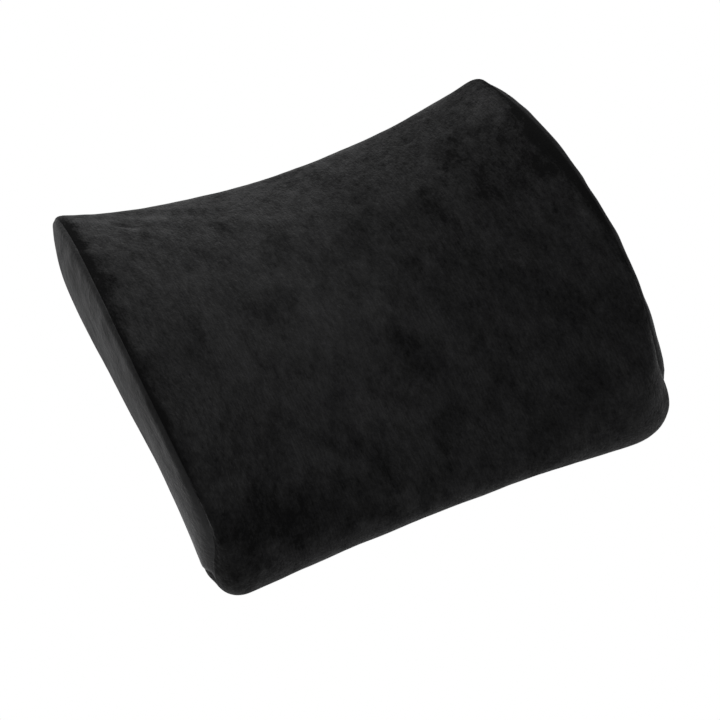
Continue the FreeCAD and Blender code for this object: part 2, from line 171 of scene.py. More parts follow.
def side_surface(side, up, across):
    """Points of a side; across is a grid of places from its back edge (0) to its front edge (1)."""
    front, back = surfaces(np.full_like(up, side), up)
    blend = across[..., None]
    points = back * (1 - blend) + front * blend
    crown = np.maximum(4 * across * (1 - across), 0) ** 0.75
    points[..., 0] += side * side_swell(up) * crown * opening(up, SWELL_REACH)
    return points


def opening(up, reach):
    """0 at both ends of the height, easing up to 1 at the given distances from the foot and the head."""
    height = np.asarray(up) * HEIGHT
    foot = np.clip(height / reach[0], 0, 1)
    head = np.clip((HEIGHT - height) / reach[1], 0, 1)
    return foot * (2 - foot) * head * (2 - head)


def leaf_edges(up):
    """Where the side panel's back and front seams run between the back (0) and the front (1) of the side:
    they close to a point at both ends, where the front panel wraps round the corner."""
    tip = np.where(np.asarray(up) < 0.5, LEAF_TIP[0], LEAF_TIP[1])
    back_edge = tip * (1 - opening(up, BACK_SEAM_CURL))
    front_edge = tip + (1 - tip) * opening(up, FRONT_SEAM_CURL)
    return back_edge, front_edge


FRONT_COUNT = 181
SIDE_COUNT = 41
RING_COUNT = 1024


def ring_marks():
    """Marks round a level section: 0 to 1 over the front, 1 to 2 round the right side, 2 to 3 over the
    back and 3 to 4 round the left side."""
    face = (seam_steps(FRONT_COUNT) + 1) / 2
    side = np.linspace(0, 1, SIDE_COUNT)
    return np.concatenate([face, 1 + side[1:], 2 + face[1:], 3 + side[1:]])


def line_run(points):
    """How far along a line of points each of them lies."""
    return np.concatenate([[0], np.cumsum(np.linalg.norm(np.diff(points, axis=0), axis=1))])


def points_at(steps, run, line):
    """Points of a line at the given steps along its run."""
    return np.stack([np.interp(steps, run, values) for values in line.T], -1)


def level_section(up):
    """Points all round the cushion at a share of its height, at the ring marks."""
    share = seam_steps(FRONT_COUNT)
    front, back = surfaces(share, np.full(FRONT_COUNT, up))
    across = np.linspace(1, 0, SIDE_COUNT)
    level = np.full(SIDE_COUNT, up)
    right = side_surface(1, level, across)
    left = side_surface(-1, level, across[::-1])
    return np.concatenate([front, right[1:], back[::-1][1:], left[1:]])


def soft_section(up):
    """A level section with its edges softened, more so near the corners: run along it at the ring marks,
    and evenly spaced points with their own run."""
    points = level_section(up)
    run = line_run(points)
    even = np.linspace(0, run[-1], RING_COUNT, endpoint=False)
    ring = points_at(even, run, points)
    sigma = SOFTEN[0] + SOFTEN[1] * (1 - float(opening(up, SOFT_REACH)))
    waves = 2 * math.pi * np.fft.rfftfreq(RING_COUNT, run[-1] / RING_COUNT)
    ring = np.fft.irfft(np.fft.rfft(ring, axis=0) * np.exp(-0.5 * (sigma * waves) ** 2)[:, None],
                        RING_COUNT, axis=0)
    closed = np.concatenate([ring, ring[:1]])
    return run, np.append(even, run[-1]), closed


def section_points(up, start, end, spread):
    """Points along a level section from one ring mark to another, at the given shares of the way."""
    run, even, ring = soft_section(up)
    marks_run = np.interp([start % 4, end % 4], ring_marks(), run)
    if marks_run[1] <= marks_run[0] and start != end:
        marks_run[1] += run[-1]
    along = (marks_run[0] + (marks_run[1] - marks_run[0]) * spread) % run[-1]
    return points_at(along, even, ring)


def up_at(height):
    """Share of the height at which the back surface reaches a given Z on the centre line."""
    up = np.linspace(0, 1, 800)
    z = surfaces(np.zeros_like(up), up)[1][:, 2]
    return float(np.interp(height, z, up))


# ------------------------------------------------------------------ mesh helpers

def grid_faces(rows, columns):
    """Quads of a rows by columns grid of points."""
    at = np.arange(rows * columns).reshape(rows, columns)
    return np.stack([at[:-1, :-1], at[:-1, 1:], at[1:, 1:], at[1:, :-1]], -1).reshape(-1, 4)


def new_object(name, points, faces, smooth=True):
    """A mesh object from points and faces."""
    mesh = bpy.data.meshes.new(name)
    mesh.from_pydata([tuple(p) for p in points], [], [tuple(int(i) for i in f) for f in faces])
    mesh.update()
    if smooth:
        mesh.polygons.foreach_set("use_smooth", [True] * len(mesh.polygons))
    item = bpy.data.objects.new(name, mesh)
    bpy.context.scene.collection.objects.link(item)
    return item


def grid_object(name, points):
    """A mesh object from a grid of points, with coincident points welded."""
    item = new_object(name, points.reshape(-1, 3), grid_faces(*points.shape[:2]))
    weld(item)
    return item


def weld(item, distance=0.02 * MM):
    """Joins points that lie together and drops the faces this empties."""
    def join(shape):
        bmesh.ops.remove_doubles(shape, verts=shape.verts, dist=distance)
        bmesh.ops.dissolve_degenerate(shape, edges=shape.edges, dist=distance / 2)
    edit_mesh(item, join)


def edit_mesh(item, change):
    """Applies a change to an object's mesh and makes its normals agree."""
    shape = bmesh.new()
    shape.from_mesh(item.data)
    change(shape)
    bmesh.ops.recalc_face_normals(shape, faces=shape.faces)
    shape.to_mesh(item.data)
    shape.free()


def apply_modifiers(item):
    """Turns the evaluated mesh of an object into its own mesh."""
    graph = bpy.context.evaluated_depsgraph_get()
    mesh = bpy.data.meshes.new_from_object(item.evaluated_get(graph))
    item.modifiers.clear()
    item.data = mesh


def thicken(item, thickness, offset=-1.0, group=""):
    """Gives a sheet its thickness, away from its outer face; a vertex group can thin it."""
    layer = item.modifiers.new("thickness", "SOLIDIFY")
    layer.vertex_group = group
    layer.thickness = thickness
    layer.offset = offset
    layer.use_quality_normals = True
    apply_modifiers(item)


def even_steps(points, pitch):
    """Indexes that walk along a dense line of points in even steps of about pitch."""
    run = line_run(points)
    count = max(3, int(round(run[-1] / pitch)) + 1)
    return np.interp(np.linspace(0, run[-1], count), run, np.arange(len(points)))


def blur(values, radius):
    """Gaussian blur of a grid of values, radius in grid steps."""
    reach = int(3 * radius) + 1
    kernel = np.exp(-0.5 * (np.arange(-reach, reach + 1) / radius) ** 2)
    kernel /= kernel.sum()
    for axis in (0, 1):
        padded = np.pad(values, [(reach, reach) if a == axis else (0, 0) for a in (0, 1)], mode="edge")
        values = np.apply_along_axis(lambda line: np.convolve(line, kernel, mode="valid"), axis, padded)
    return values


def noise_field(points, scale, seed):
    """Smooth noise between -1 and 1 at each point of a grid, for features about 1/scale wide."""
    flat = points.reshape(-1, 3) * scale + seed
    values = np.array([noise.noise(Vector(p)) for p in flat])
    return values.reshape(points.shape[:2])


def runs(points, axis):
    """Distance of every grid point from the start of its own line along axis."""
    step = np.linalg.norm(np.diff(points, axis=axis), axis=2)
    pad = [(1, 0), (0, 0)] if axis == 0 else [(0, 0), (1, 0)]
    return np.cumsum(np.pad(step, pad), axis=axis)


def edge_distance(points, axis):
    """Distance of every grid point from the nearer end of its own line along axis."""
    run = runs(points, axis)
    total = run[-1:, :] if axis == 0 else run[:, -1:]
    return np.minimum(run, total - run)


# ------------------------------------------------------------------ the cushion's form

def cosine_steps(count):
    """Shares from 0 to 1 that crowd towards both ends."""
    return 0.5 - 0.5 * np.cos(np.linspace(0, math.pi, count))


def seam_steps(count):
    """Shares of the half width from -1 to 1 that crowd towards the side seams."""
    even = np.linspace(-1, 1, count)
    return 0.25 * even + 0.75 * np.sin(even * math.pi / 2)


FORM_ROWS = 120
FORM_COLUMNS = 360
# Ring marks from the middle of the front all the way round to just short of it.
ONCE_ROUND = (0.5, 4.4999)


def closed_ring(points):
    """A grid of points whose lines are rings, with the first point of each ring repeated at its end."""
    return np.concatenate([points, points[:, :1]], 1)


def closed_form(inset=0.0):
    """The whole cushion as one closed mesh."""
    spread = np.linspace(0, 1, FORM_COLUMNS, endpoint=False)
    points = np.array([section_points(up, *ONCE_ROUND, spread) for up in cosine_steps(FORM_ROWS)])
    form = grid_object("form", closed_ring(points))
    weld(form, 0.3 * MM)
    if inset:
        shrink_points(form, inset)
    return form


def shrink_points(item, inset):
    """Moves every point of a closed mesh inwards along its normal."""
    item.data.update()
    move_points(item, [v.co - v.normal * inset for v in item.data.vertices])


def remesh(item, size):
    """Voxel remesh to an even mesh."""
    item.data.remesh_voxel_size = size
    bpy.ops.object.select_all(action="DESELECT")
    item.select_set(True)
    bpy.context.view_layer.objects.active = item
    bpy.ops.object.voxel_remesh()


SIM_VOXEL = 5 * MM
SIM_INSET = 1.5 * MM
SIM_CAP = 7 * MM
SIM_FRAMES = 20
SIM_CLOTH = {"quality": 6, "mass": 0.35, "tension_stiffness": 25, "compression_stiffness": 25,
             "bending_stiffness": 1.0, "use_pressure": True, "uniform_pressure_force": 4.0,
             "vertex_group_mass": "held"}
SEAM_GRIP = 14 * MM
BROAD = 12
FOLD_GAIN = 1.6
FOLD_LIMIT = 2.6 * MM


def seam_points():
    """Points along the four side seams, where the cover is held in."""
    lines = []
    for up in cosine_steps(80):
        back_edge, front_edge = leaf_edges(up)
        for mark in (2 - front_edge, 2 - back_edge, 3 + back_edge, 3 + front_edge):
            lines.append(section_points(up, mark, mark + 0.01, np.zeros(1))[0])
    return np.array(lines)


def filled_cover():
    """Cloth simulation of the stuffed cover: pressure fills it out between seams that hold it in."""
    form = closed_form(inset=SIM_INSET)
    remesh(form, SIM_VOXEL)
    rest = np.array(places(form))
    seams = seam_points()
    near = np.array([np.min(np.linalg.norm(seams - p, axis=1)) for p in rest])
    hold = np.clip(1 - near / SEAM_GRIP, 0, 1) ** 0.5
    group = form.vertex_groups.new(name="held")
    for index, weight in enumerate(hold):
        group.add([index], float(weight), "REPLACE")
    cloth = form.modifiers.new("fill", "CLOTH")
    for key, value in SIM_CLOTH.items():
        setattr(cloth.settings, key, value)
    cloth.settings.effector_weights.gravity = 0.0
    scene = bpy.context.scene
    scene.frame_start = 1
    scene.frame_end = SIM_FRAMES
    cloth.point_cache.frame_start = 1
    cloth.point_cache.frame_end = SIM_FRAMES
    for step in range(1, SIM_FRAMES + 1):
        scene.frame_set(step)
    apply_modifiers(form)
    scene.frame_set(1)
    shift = np.array(places(form)) - rest
    length = np.linalg.norm(shift, axis=1, keepdims=True)
    capped = rest + shift * np.minimum(1, SIM_CAP / np.maximum(length, 1e-9))
    move_points(form, capped)
    return form


def places(item):
    """Every point of an object's mesh."""
    return [v.co.copy() for v in item.data.vertices]


def move_points(item, new_places):
    """Puts every point of an object's mesh at a new place."""
    for vertex, place in zip(item.data.vertices, new_places):
        vertex.co = place
    item.data.update()


def search_tree(item):
    """A search tree over an object's faces."""
    return BVHTree.FromPolygons(places(item), [tuple(p.vertices) for p in item.data.polygons])


class Body:
    """The smooth form's normals, and how far the stuffed cover stands off it."""

    def __init__(self):
        form = closed_form()
        form.data.update()
        self.smooth = search_tree(form)
        self.corners = places(form)
        self.normals = [v.normal.copy() for v in form.data.vertices]
        self.faces = [tuple(p.vertices) for p in form.data.polygons]
        bpy.data.objects.remove(form)
        self.full = None
        filled = filled_cover()
        self.full = search_tree(filled)
        bpy.data.objects.remove(filled)

    def normal_at(self, place):
        """Normal of the smooth form near a point, turning evenly across the seams."""
        near, _, face, _ = self.smooth.find_nearest(place)
        corners = self.faces[face]
        shares = poly_3d_calc([self.corners[i] for i in corners], near)
        total = Vector((0, 0, 0))
        for index, share in zip(corners, shares):
            total += self.normals[index] * share
        return total.normalized()

    def normals_at(self, points):
        """Normals for a grid of points."""
        flat = points.reshape(-1, 3)
        return np.array([self.normal_at(Vector(p)) for p in flat]).reshape(points.shape)

    def fullness(self, points, normals):
        """Folds and swells of the stuffed cover: its distance along each normal, less the broad part,
        which the form already has."""
        if self.full is None:
            return np.zeros(points.shape[:2])
        flat = points.reshape(-1, 3)
        out = np.zeros(len(flat))
        for index, (place, normal) in enumerate(zip(flat, normals.reshape(-1, 3))):
            nearest = self.full.find_nearest(Vector(place))[0]
            out[index] = (nearest - Vector(place)).dot(Vector(normal))
        stand = blur(out.reshape(points.shape[:2]), 2.0)
        return np.clip((stand - blur(stand, BROAD)) * FOLD_GAIN, -FOLD_LIMIT, FOLD_LIMIT)


# ------------------------------------------------------------------ the cover's panels

GROOVE_DEPTH = 1.9 * MM
FRONT_GROOVE = 4.4 * MM
SIDE_GROOVE = 1.9 * MM
BACK_GROOVE = 2.6 * MM
HEM_DEPTH = 3.0 * MM
HEM_CROSS = 0.7 * MM
HEM_THIN = 0.4
TUCK = 0.5 * MM
TUCK_WIDTH = 1.2 * MM
# Panels whose seam valley is wider than this are the ones tucked under.
TUCKED_GROOVE = 3.0 * MM
PUCKER = 0.12 * MM
LOOSE_PUCKER = 1.0 * MM
LOOSE_PLACE = 10.0 * MM
LOOSE_WIDTH = 7.0 * MM
# Swells and ripples of the pile: stretch along the height, scale, seed and height.
PILE_RELIEF = (
    (1.00, 16.0, 11.3, 0.80 * MM),
    (0.55, 48.0, 5.1, 0.35 * MM),
    (0.35, 160.0, 8.9, 0.10 * MM),
)
# Width of the painted shade that darkens the pile beside the long seams.
SEAM_SHADE_WIDTH = 9.0 * MM
STITCH_PITCH = 3.6 * MM
PANEL_PITCH = 1.7 * MM
CORNER_TUCK = 0.8 * MM
CORNER_REACH = 8.0 * MM
# Reach of the easing of the side seams' valleys towards the foot and the head.
EASE_REACH = (0.062, 0.036)
EASE_LEAST = 0.12


def seam_relief(points, distance, run, width):
    """The valley beside a seam, with small puckers at every stitch and looser ones further in.
    The broader panel is tucked a little under its neighbour's edge."""
    valley = -GROOVE_DEPTH * np.exp(-(distance / width) ** 2)
    if width > TUCKED_GROOVE:
        valley -= TUCK * np.exp(-(distance / TUCK_WIDTH) ** 2)
    beside = np.exp(-((distance - width) / width) ** 2)
    stitches = PUCKER * np.sin(2 * math.pi * run / STITCH_PITCH) * beside
    further = np.exp(-((distance - LOOSE_PLACE) / LOOSE_WIDTH) ** 2)
    return valley + stitches + noise_field(points, 60.0, 3.7) * LOOSE_PUCKER * further


def pile_relief(points):
    """Uneven fill and brushed pile: broad swells and a finer ripple that runs along the height."""
    return sum(noise_field(points * np.array([1.0, 1.0, stretch]), scale, seed) * height
               for stretch, scale, seed, height in PILE_RELIEF)


def dressed_panel(name, points, form, grooves, ease, extra=None):
    """A cover panel from a grid of points of the smooth form: filled out, seamed, hemmed and thickened.
    grooves gives the width of the seam valley along the first and last row, and along the first and last
    column; none means that pair of edges isn't sewn. ease makes valleys shallower near the corners."""
    normals = form.normals_at(points)
    offset = pile_relief(points)
    nearest = np.full(points.shape[:2], 1.0)
    for axis, width in enumerate(grooves):
        if width:
            distance = edge_distance(points, axis)
            offset += seam_relief(points, distance, runs(points, 1 - axis), width) * ease
            nearest = np.minimum(nearest, distance / width)
    offset += form.fullness(points, normals) * (1 - np.exp(-(nearest / 2) ** 2))
    if extra is not None:
        offset += extra(points)
    # Painted shade beside the seams, stored as a point attribute for the pile material.
    seam_shading = paint_seam_shade(points, grooves) * ease ** 2
    scale = np.broadcast_to(ease, seam_shading.shape)
    sheet = np.concatenate([points + normals * offset[..., None], normals, seam_shading[..., None],
                            scale[..., None]], 2)
    for axis, width in enumerate(grooves):
        if width:
            sheet = add_hems(sheet, axis)
    item = new_object(name, sheet[..., :3].reshape(-1, 3), grid_faces(*sheet.shape[:2]))
    for label, values in (("seam_shading", sheet[..., 6]), ("cloth", sheet[..., 7])):
        mark = item.data.attributes.new(label, "FLOAT", "POINT")
        mark.data.foreach_set("value", values.astype(np.float32).ravel())
    weld(item)
    point_outwards(item)
    return item


def paint_seam_shade(points, grooves):
    """Painted shade beside the long seams, where the seam valley lies in shade: how much it darkens the pile,
    between 0 and 1; it fades in patches.
    """
    width = grooves[1]
    if not width:
        return np.zeros(points.shape[:2])
    distance = edge_distance(points, 1)
    patchy = 0.95 + 0.4 * noise_field(points, 60.0, 2.2)
    return np.exp(-(distance / (SEAM_SHADE_WIDTH * np.maximum(patchy, 0.2))) ** 3)


def add_hems(sheet, axis):
    """Adds a turned-in strip along both edges of one axis, leaning under the neighbouring panel.
    A sheet holds, for every point, its place, its normal, how much painted seam shade it carries and its
    hem's scale."""
    for end in (0, -1):
        edge = np.take(sheet, [end], axis)
        onward = (edge - np.take(sheet, [2 if end == 0 else -3], axis))[..., :3]
        onward /= np.maximum(np.linalg.norm(onward, axis=2, keepdims=True), 1e-9)
        turn_in = (onward * HEM_CROSS - edge[..., 3:6] * HEM_DEPTH) * edge[..., 7:8]
        rings = []
        for share in (0.35, 1.0):
            ring = edge.copy()
            ring[..., :3] += turn_in * share
            ring[..., 7] *= HEM_THIN
            rings.append(ring)
        sheet = np.concatenate(rings[::-1] + [sheet] if end == 0 else [sheet] + rings, axis)
    return sheet


def point_outwards(item):
    """Turns faces so that they look away from the middle of the cushion, then gives the sheet thickness,
    which thins out at the corners."""
    centre = Vector((0, -0.035, HEIGHT / 2))
    total = sum((p.center - centre).dot(p.normal) * p.area for p in item.data.polygons)
    if total < 0:
        item.data.flip_normals()
    group = item.vertex_groups.new(name="cloth")
    for index, mark in enumerate(item.data.attributes["cloth"].data):
        group.add([index], mark.value, "REPLACE")
    thicken(item, FABRIC, group="cloth")


def front_path():
    """Height shares that run from the low back seam, round the bottom, up the front and over the top to
    the high back seam, and which of them lie on the front."""
    bends = np.linspace(0, math.pi, 1400)
    up = 0.5 - 0.5 * np.cos(bends)
    low_back = up[up < up_at(SEAM_LOW)][::-1]
    high_back = up[up > up_at(SEAM_HIGH)][::-1]
    on_front = np.concatenate([np.zeros(len(low_back)), np.ones(len(up)), np.zeros(len(high_back))])
    ups = np.concatenate([low_back, up, high_back])
    front, back = surfaces(np.full_like(ups, 0.75), ups)
    line = np.where(on_front[:, None] > 0.5, front, back)
    keep = np.unique(np.round(even_steps(line, PANEL_PITCH)).astype(int))
    return ups[keep], on_front[keep] > 0.5


# Share of the half width, share of the height, radius or half length, and depth.
DIMPLE = (0.50, 0.845, 5 * MM, 1.3 * MM)
CREASE = (-0.70, 0.86, 10 * MM, 1.0 * MM)
CREASE_WIDTH = 2.5 * MM
CREASE_TURN = (0.8, 0.6)


def marks(points):
    """A small dimple near the top and a short crease near the top left corner, both pressed into the pile."""
    x = points[..., 0]
    z = points[..., 2]
    front = points[..., 1] < -0.012
    share, up, radius, depth = DIMPLE
    dimple = -depth * np.exp(-((x - share * HALF_WIDTH) ** 2 + (z - up * HEIGHT) ** 2) / radius ** 2)
    share, up, length, depth = CREASE
    cos, sin = CREASE_TURN
    along = (x - share * HALF_WIDTH) * cos - (z - up * HEIGHT) * sin
    off = (x - share * HALF_WIDTH) * sin + (z - up * HEIGHT) * cos
    crease = -depth * np.exp(-(along / length) ** 2 - (off / CREASE_WIDTH) ** 2)
    return (dimple + crease) * front


def seam_ease(up):
    """How deep the side seams' valleys are along the height: shallow where the leaf closes."""
    return EASE_LEAST + (1 - EASE_LEAST) * opening(up, EASE_REACH) ** 1.5


def front_panel(form):
    """The front panel: one piece of pile fabric that rolls over both ends and wraps the four corners."""
    ups, on_front = front_path()
    spread = (seam_steps(200) + 1) / 2
    rows = []
    for up, facing in zip(ups, on_front):
        back_edge, front_edge = leaf_edges(up)
        if facing:
            rows.append(section_points(up, 3 + front_edge, 2 - front_edge, spread))
        else:
            rows.append(section_points(up, 2 - back_edge, 3 + back_edge, spread)[::-1])
    ease = seam_ease(ups)[:, None]
    return dressed_panel("front_panel_pile", np.array(rows), form, (BACK_GROOVE, FRONT_GROOVE), ease, marks)


def side_panel(side, form):
    """A leaf-shaped side panel between the front seam and the back seam."""
    spread = 0.5 * cosine_steps(56) + 0.5 * np.linspace(0, 1, 56)
    ups = cosine_steps(240)
    columns = []
    for up in ups:
        back_edge, front_edge = leaf_edges(up)
        if side > 0:
            columns.append(section_points(up, 2 - front_edge, 2 - back_edge, spread)[::-1])
        else:
            columns.append(section_points(up, 3 + back_edge, 3 + front_edge, spread))
    points = np.array(columns).transpose(1, 0, 2)
    label = "left" if side < 0 else "right"
    ease = seam_ease(ups)[None, :]
    return dressed_panel(f"side_panel_pile_{label}", points, form, (SIDE_GROOVE, None), ease)


def back_panel(name, zip_edge, cross_seam, form):
    """A flat back panel from its straight edge at the zip to its cross seam."""
    spread = (seam_steps(170) + 1) / 2
    seam_up = up_at(cross_seam)
    away = math.copysign(0.12, up_at(zip_edge) - seam_up)
    ups = np.sort(np.linspace(seam_up, up_at(zip_edge) + away, 150))
    grid = np.array([section_points(up, 2 - leaf_edges(up)[0], 3 + leaf_edges(up)[0], spread) for up in ups])
    count = int(abs(cross_seam - zip_edge) / PANEL_PITCH / 1.2)
    points = np.empty((count, len(spread), 3))
    for column in range(len(spread)):
        zip_up = np.interp(zip_edge, grid[:, column, 2], ups)
        points[:, column] = points_at(np.linspace(zip_up, seam_up, count), ups, grid[:, column])
    ease = seam_ease(np.linspace(up_at(zip_edge), seam_up, count))[:, None]
    return dressed_panel(name, points, form, (BACK_GROOVE, BACK_GROOVE), ease, corner_tuck)


def corner_tuck(points):
    """Draws in a back panel's two corners at its cross seam, where three panels meet."""
    tuck = np.zeros(points.shape[:2])
    for corner in (points[-1, 0], points[-1, -1]):
        away = np.linalg.norm(points - corner, axis=2)
        tuck -= CORNER_TUCK * np.exp(-(away / CORNER_REACH) ** 2)
    return tuck


# ------------------------------------------------------------------ materials

def material(name, roughness):
    """A node material, its tree and its shader."""
    item = bpy.data.materials.new(name)
    item.use_nodes = True
    tree = item.node_tree
    shader = tree.nodes["Principled BSDF"]
    plug(tree, shader, {"Roughness": roughness})
    return item, tree, shader


def add(tree, kind, links=None, **values):
    """A node with its inputs set by name or number and its properties by keyword."""
    node = tree.nodes.new(kind)
    for key, value in values.items():
        setattr(node, key, value)
    plug(tree, node, links or {})
    return node


def plug(tree, node, links):
    """Sets a node's inputs by name or number, each to a value or to another node's output."""
    for key, value in links.items():
        if isinstance(value, bpy.types.NodeSocket):
            tree.links.new(value, node.inputs[key])
        else:
            node.inputs[key].default_value = value


EVEN = (1.0, 1.0, 1.0)


def grain(tree, coordinates, stretch, scale, detail=3.0, rough=0.55, twist=0.0):
    """A noise value between 0 and 1 in object space, stretched along the axes."""
    mapping = add(tree, "ShaderNodeMapping", {"Vector": coordinates, "Scale": stretch,
                                              "Rotation": (0.0, twist, 0.0)})
    field = add(tree, "ShaderNodeTexNoise", {"Vector": mapping.outputs[0], "Scale": scale,
                                             "Detail": detail, "Roughness": rough})
    return field.outputs["Fac"]


def blend_range(tree, value, low_value, high_value, from_low=0.0, from_high=1.0):
    """Maps a value from one range to another, clamped."""
    node = add(tree, "ShaderNodeMapRange", {"Value": value, "From Min": from_low, "From Max": from_high,
                                            "To Min": low_value, "To Max": high_value})
    return node.outputs[0]


def wave(tree, where, scale, distortion, direction, **more):
    """A wave value between 0 and 1 across one axis."""
    links = {"Vector": where, "Scale": scale, "Distortion": distortion, **more}
    return add(tree, "ShaderNodeTexWave", links, bands_direction=direction).outputs["Fac"]


def maths(tree, operation, first, second):
    """One arithmetic step."""
    return add(tree, "ShaderNodeMath", {0: first, 1: second}, operation=operation).outputs[0]


def vector_maths(tree, operation, first, second):
    """One step of vector arithmetic; a scale takes a number as its second value."""
    links = {0: first, "Scale" if operation == "SCALE" else 1: second}
    return add(tree, "ShaderNodeVectorMath", links, operation=operation).outputs[0]


def height_and_side(tree, where):
    """Height and place across of every point, in the row frame."""
    parts = add(tree, "ShaderNodeSeparateXYZ", {0: where})
    return parts.outputs["Z"], parts.outputs["X"]


def weighted(tree, parts):
    """The sum of values, each times its weight."""
    total = None
    for value, weight in parts:
        part = maths(tree, "MULTIPLY", value, weight)
        total = part if total is None else maths(tree, "ADD", total, part)
    return total


def object_space(tree):
    """Coordinates in the row frame."""
    return add(tree, "ShaderNodeTexCoord").outputs["Object"]


def colour_ramp(tree, value, stops):
    """A colour ramp with stops of (place, colour)."""
    node = add(tree, "ShaderNodeValToRGB", {"Fac": value})
    ramp = node.color_ramp
    while len(ramp.elements) < len(stops):
        ramp.elements.new(0.5)
    for element, (place, colour) in zip(ramp.elements, stops):
        element.position = place
        element.color = (*colour, 1.0)
    return node.outputs["Color"]


def bump(tree, height, strength, distance, normal=None):
    """A bump step, chained to an earlier one if given."""
    links = {"Height": height, "Strength": strength, "Distance": distance}
    if normal is not None:
        links["Normal"] = normal
    return add(tree, "ShaderNodeBump", links).outputs["Normal"]


PILE_DARK = (0.0016, 0.0016, 0.0017)
PILE_MIDDLE = (0.0056, 0.0056, 0.0058)
PILE_LIGHT = (0.0125, 0.0125, 0.0128)
PILE_BRIGHT = (0.0240, 0.0240, 0.0246)
ROW_PITCH = 1.9 * MM
# Patches painted lighter or darker on the pile, partly nap that lies differently and partly painted light and
# shade, such as the painted highlights at the right-hand corners: place across and up, half sizes, and how
# much.
NAP_AND_LIGHT_PATCHES = (
    (-0.052, 0.152, 0.080, 0.066, 0.062),
    (-0.012, 0.122, 0.050, 0.056, 0.055),
    (-0.112, 0.018, 0.070, 0.027, -0.080),
    (-0.075, 0.022, 0.080, 0.020, -0.045),
    (-0.062, 0.158, 0.019, 0.014, -0.095),
    (0.010, 0.108, 0.014, 0.026, -0.095),
    (0.013, 0.046, 0.014, 0.022, -0.080),
    (0.118, 0.200, 0.045, 0.036, -0.060),
    (0.126, 0.012, 0.036, 0.018, 0.060),
    (0.141, 0.262, 0.020, 0.022, 0.060),
)
PATCH_DRIFT = 0.06
# The painted sheen band along the foot's rolled edge, a painted highlight: where it starts to fade, where it
# ends, and how much it lightens.
FOOT_SHEEN_BAND = (0.003, 0.016, 0.050)
# Painted light on the foot of the left side: the heights and places across between which it fades.
SIDE_FOOT = (0.025, 0.110)
SIDE_FOOT_ACROSS = (-0.05, 0.05)
SIDE_FOOT_GAIN = 0.20
# Noise of the pile, from blotches to fibres: stretch along the height, scale, detail, roughness, twist
# and its share in how the pile lies.
PILE_LAYERS = (
    (0.75, 30.0, 6.0, 0.62, 0.35, 0.20),
    (0.60, 95.0, 5.0, 0.68, -0.5, 0.24),
    (0.30, 260.0, 4.0, 0.62, 0.3, 0.20),
    (0.55, 560.0, 3.0, 0.75, 0.7, 0.26),
    (0.50, 1300.0, 2.0, 0.6, 0.4, 0.10),
)
# Strength and depth of the relief of every layer but the first.
PILE_BUMPS = ((0.45, 1.2 * MM), (0.50, 0.8 * MM), (0.75, 0.6 * MM), (0.5, 0.25 * MM))
ROW_GAIN = 0.03
SMUDGE_GAIN = 0.07
# How much the painted seam shade darkens the pile.
SEAM_SHADE_GAIN = 0.17
# Wave bands per metre for a wave node's scale of 1.
WAVE_UNIT = 0.314


def patches_and_foot_sheen(tree, where):
    """How much the patches lighten or darken the pile, with uneven edges, partly nap and partly painted light
    and shade, and the painted sheen band along the foot's rolled edge."""
    drift = add(tree, "ShaderNodeTexNoise", {"Vector": where, "Scale": 38.0, "Detail": 4.0, "Roughness": 0.6})
    drift = vector_maths(tree, "SUBTRACT", drift.outputs["Color"], (0.5, 0.5, 0.5))
    place = vector_maths(tree, "ADD", where, vector_maths(tree, "SCALE", drift, PATCH_DRIFT))
    parts = []
    for x, z, half_x, half_z, amount in NAP_AND_LIGHT_PATCHES:
        local = vector_maths(tree, "SUBTRACT", place, (x, 0.0, z))
        local = vector_maths(tree, "MULTIPLY", local, (1 / half_x, 0.0, 1 / half_z))
        away = add(tree, "ShaderNodeVectorMath", {0: local}, operation="LENGTH").outputs["Value"]
        parts.append((blend_range(tree, away, 1.0, 0.0, 0.25, 1.15), amount))
    # Painted highlight: a sheen band along the foot's rolled edge.
    bottom, top, amount = FOOT_SHEEN_BAND
    up, _ = height_and_side(tree, place)
    parts.append((blend_range(tree, up, 1.0, 0.0, bottom, top), amount))
    return weighted(tree, parts)


def painted_foot_light(tree, where):
    """How much painted light lightens the foot of the left side."""
    up, across = height_and_side(tree, where)
    left = blend_range(tree, across, 1.0, 0.0, *SIDE_FOOT_ACROSS)
    return maths(tree, "MULTIPLY", blend_range(tree, up, SIDE_FOOT_GAIN, 0.0, *SIDE_FOOT), left)


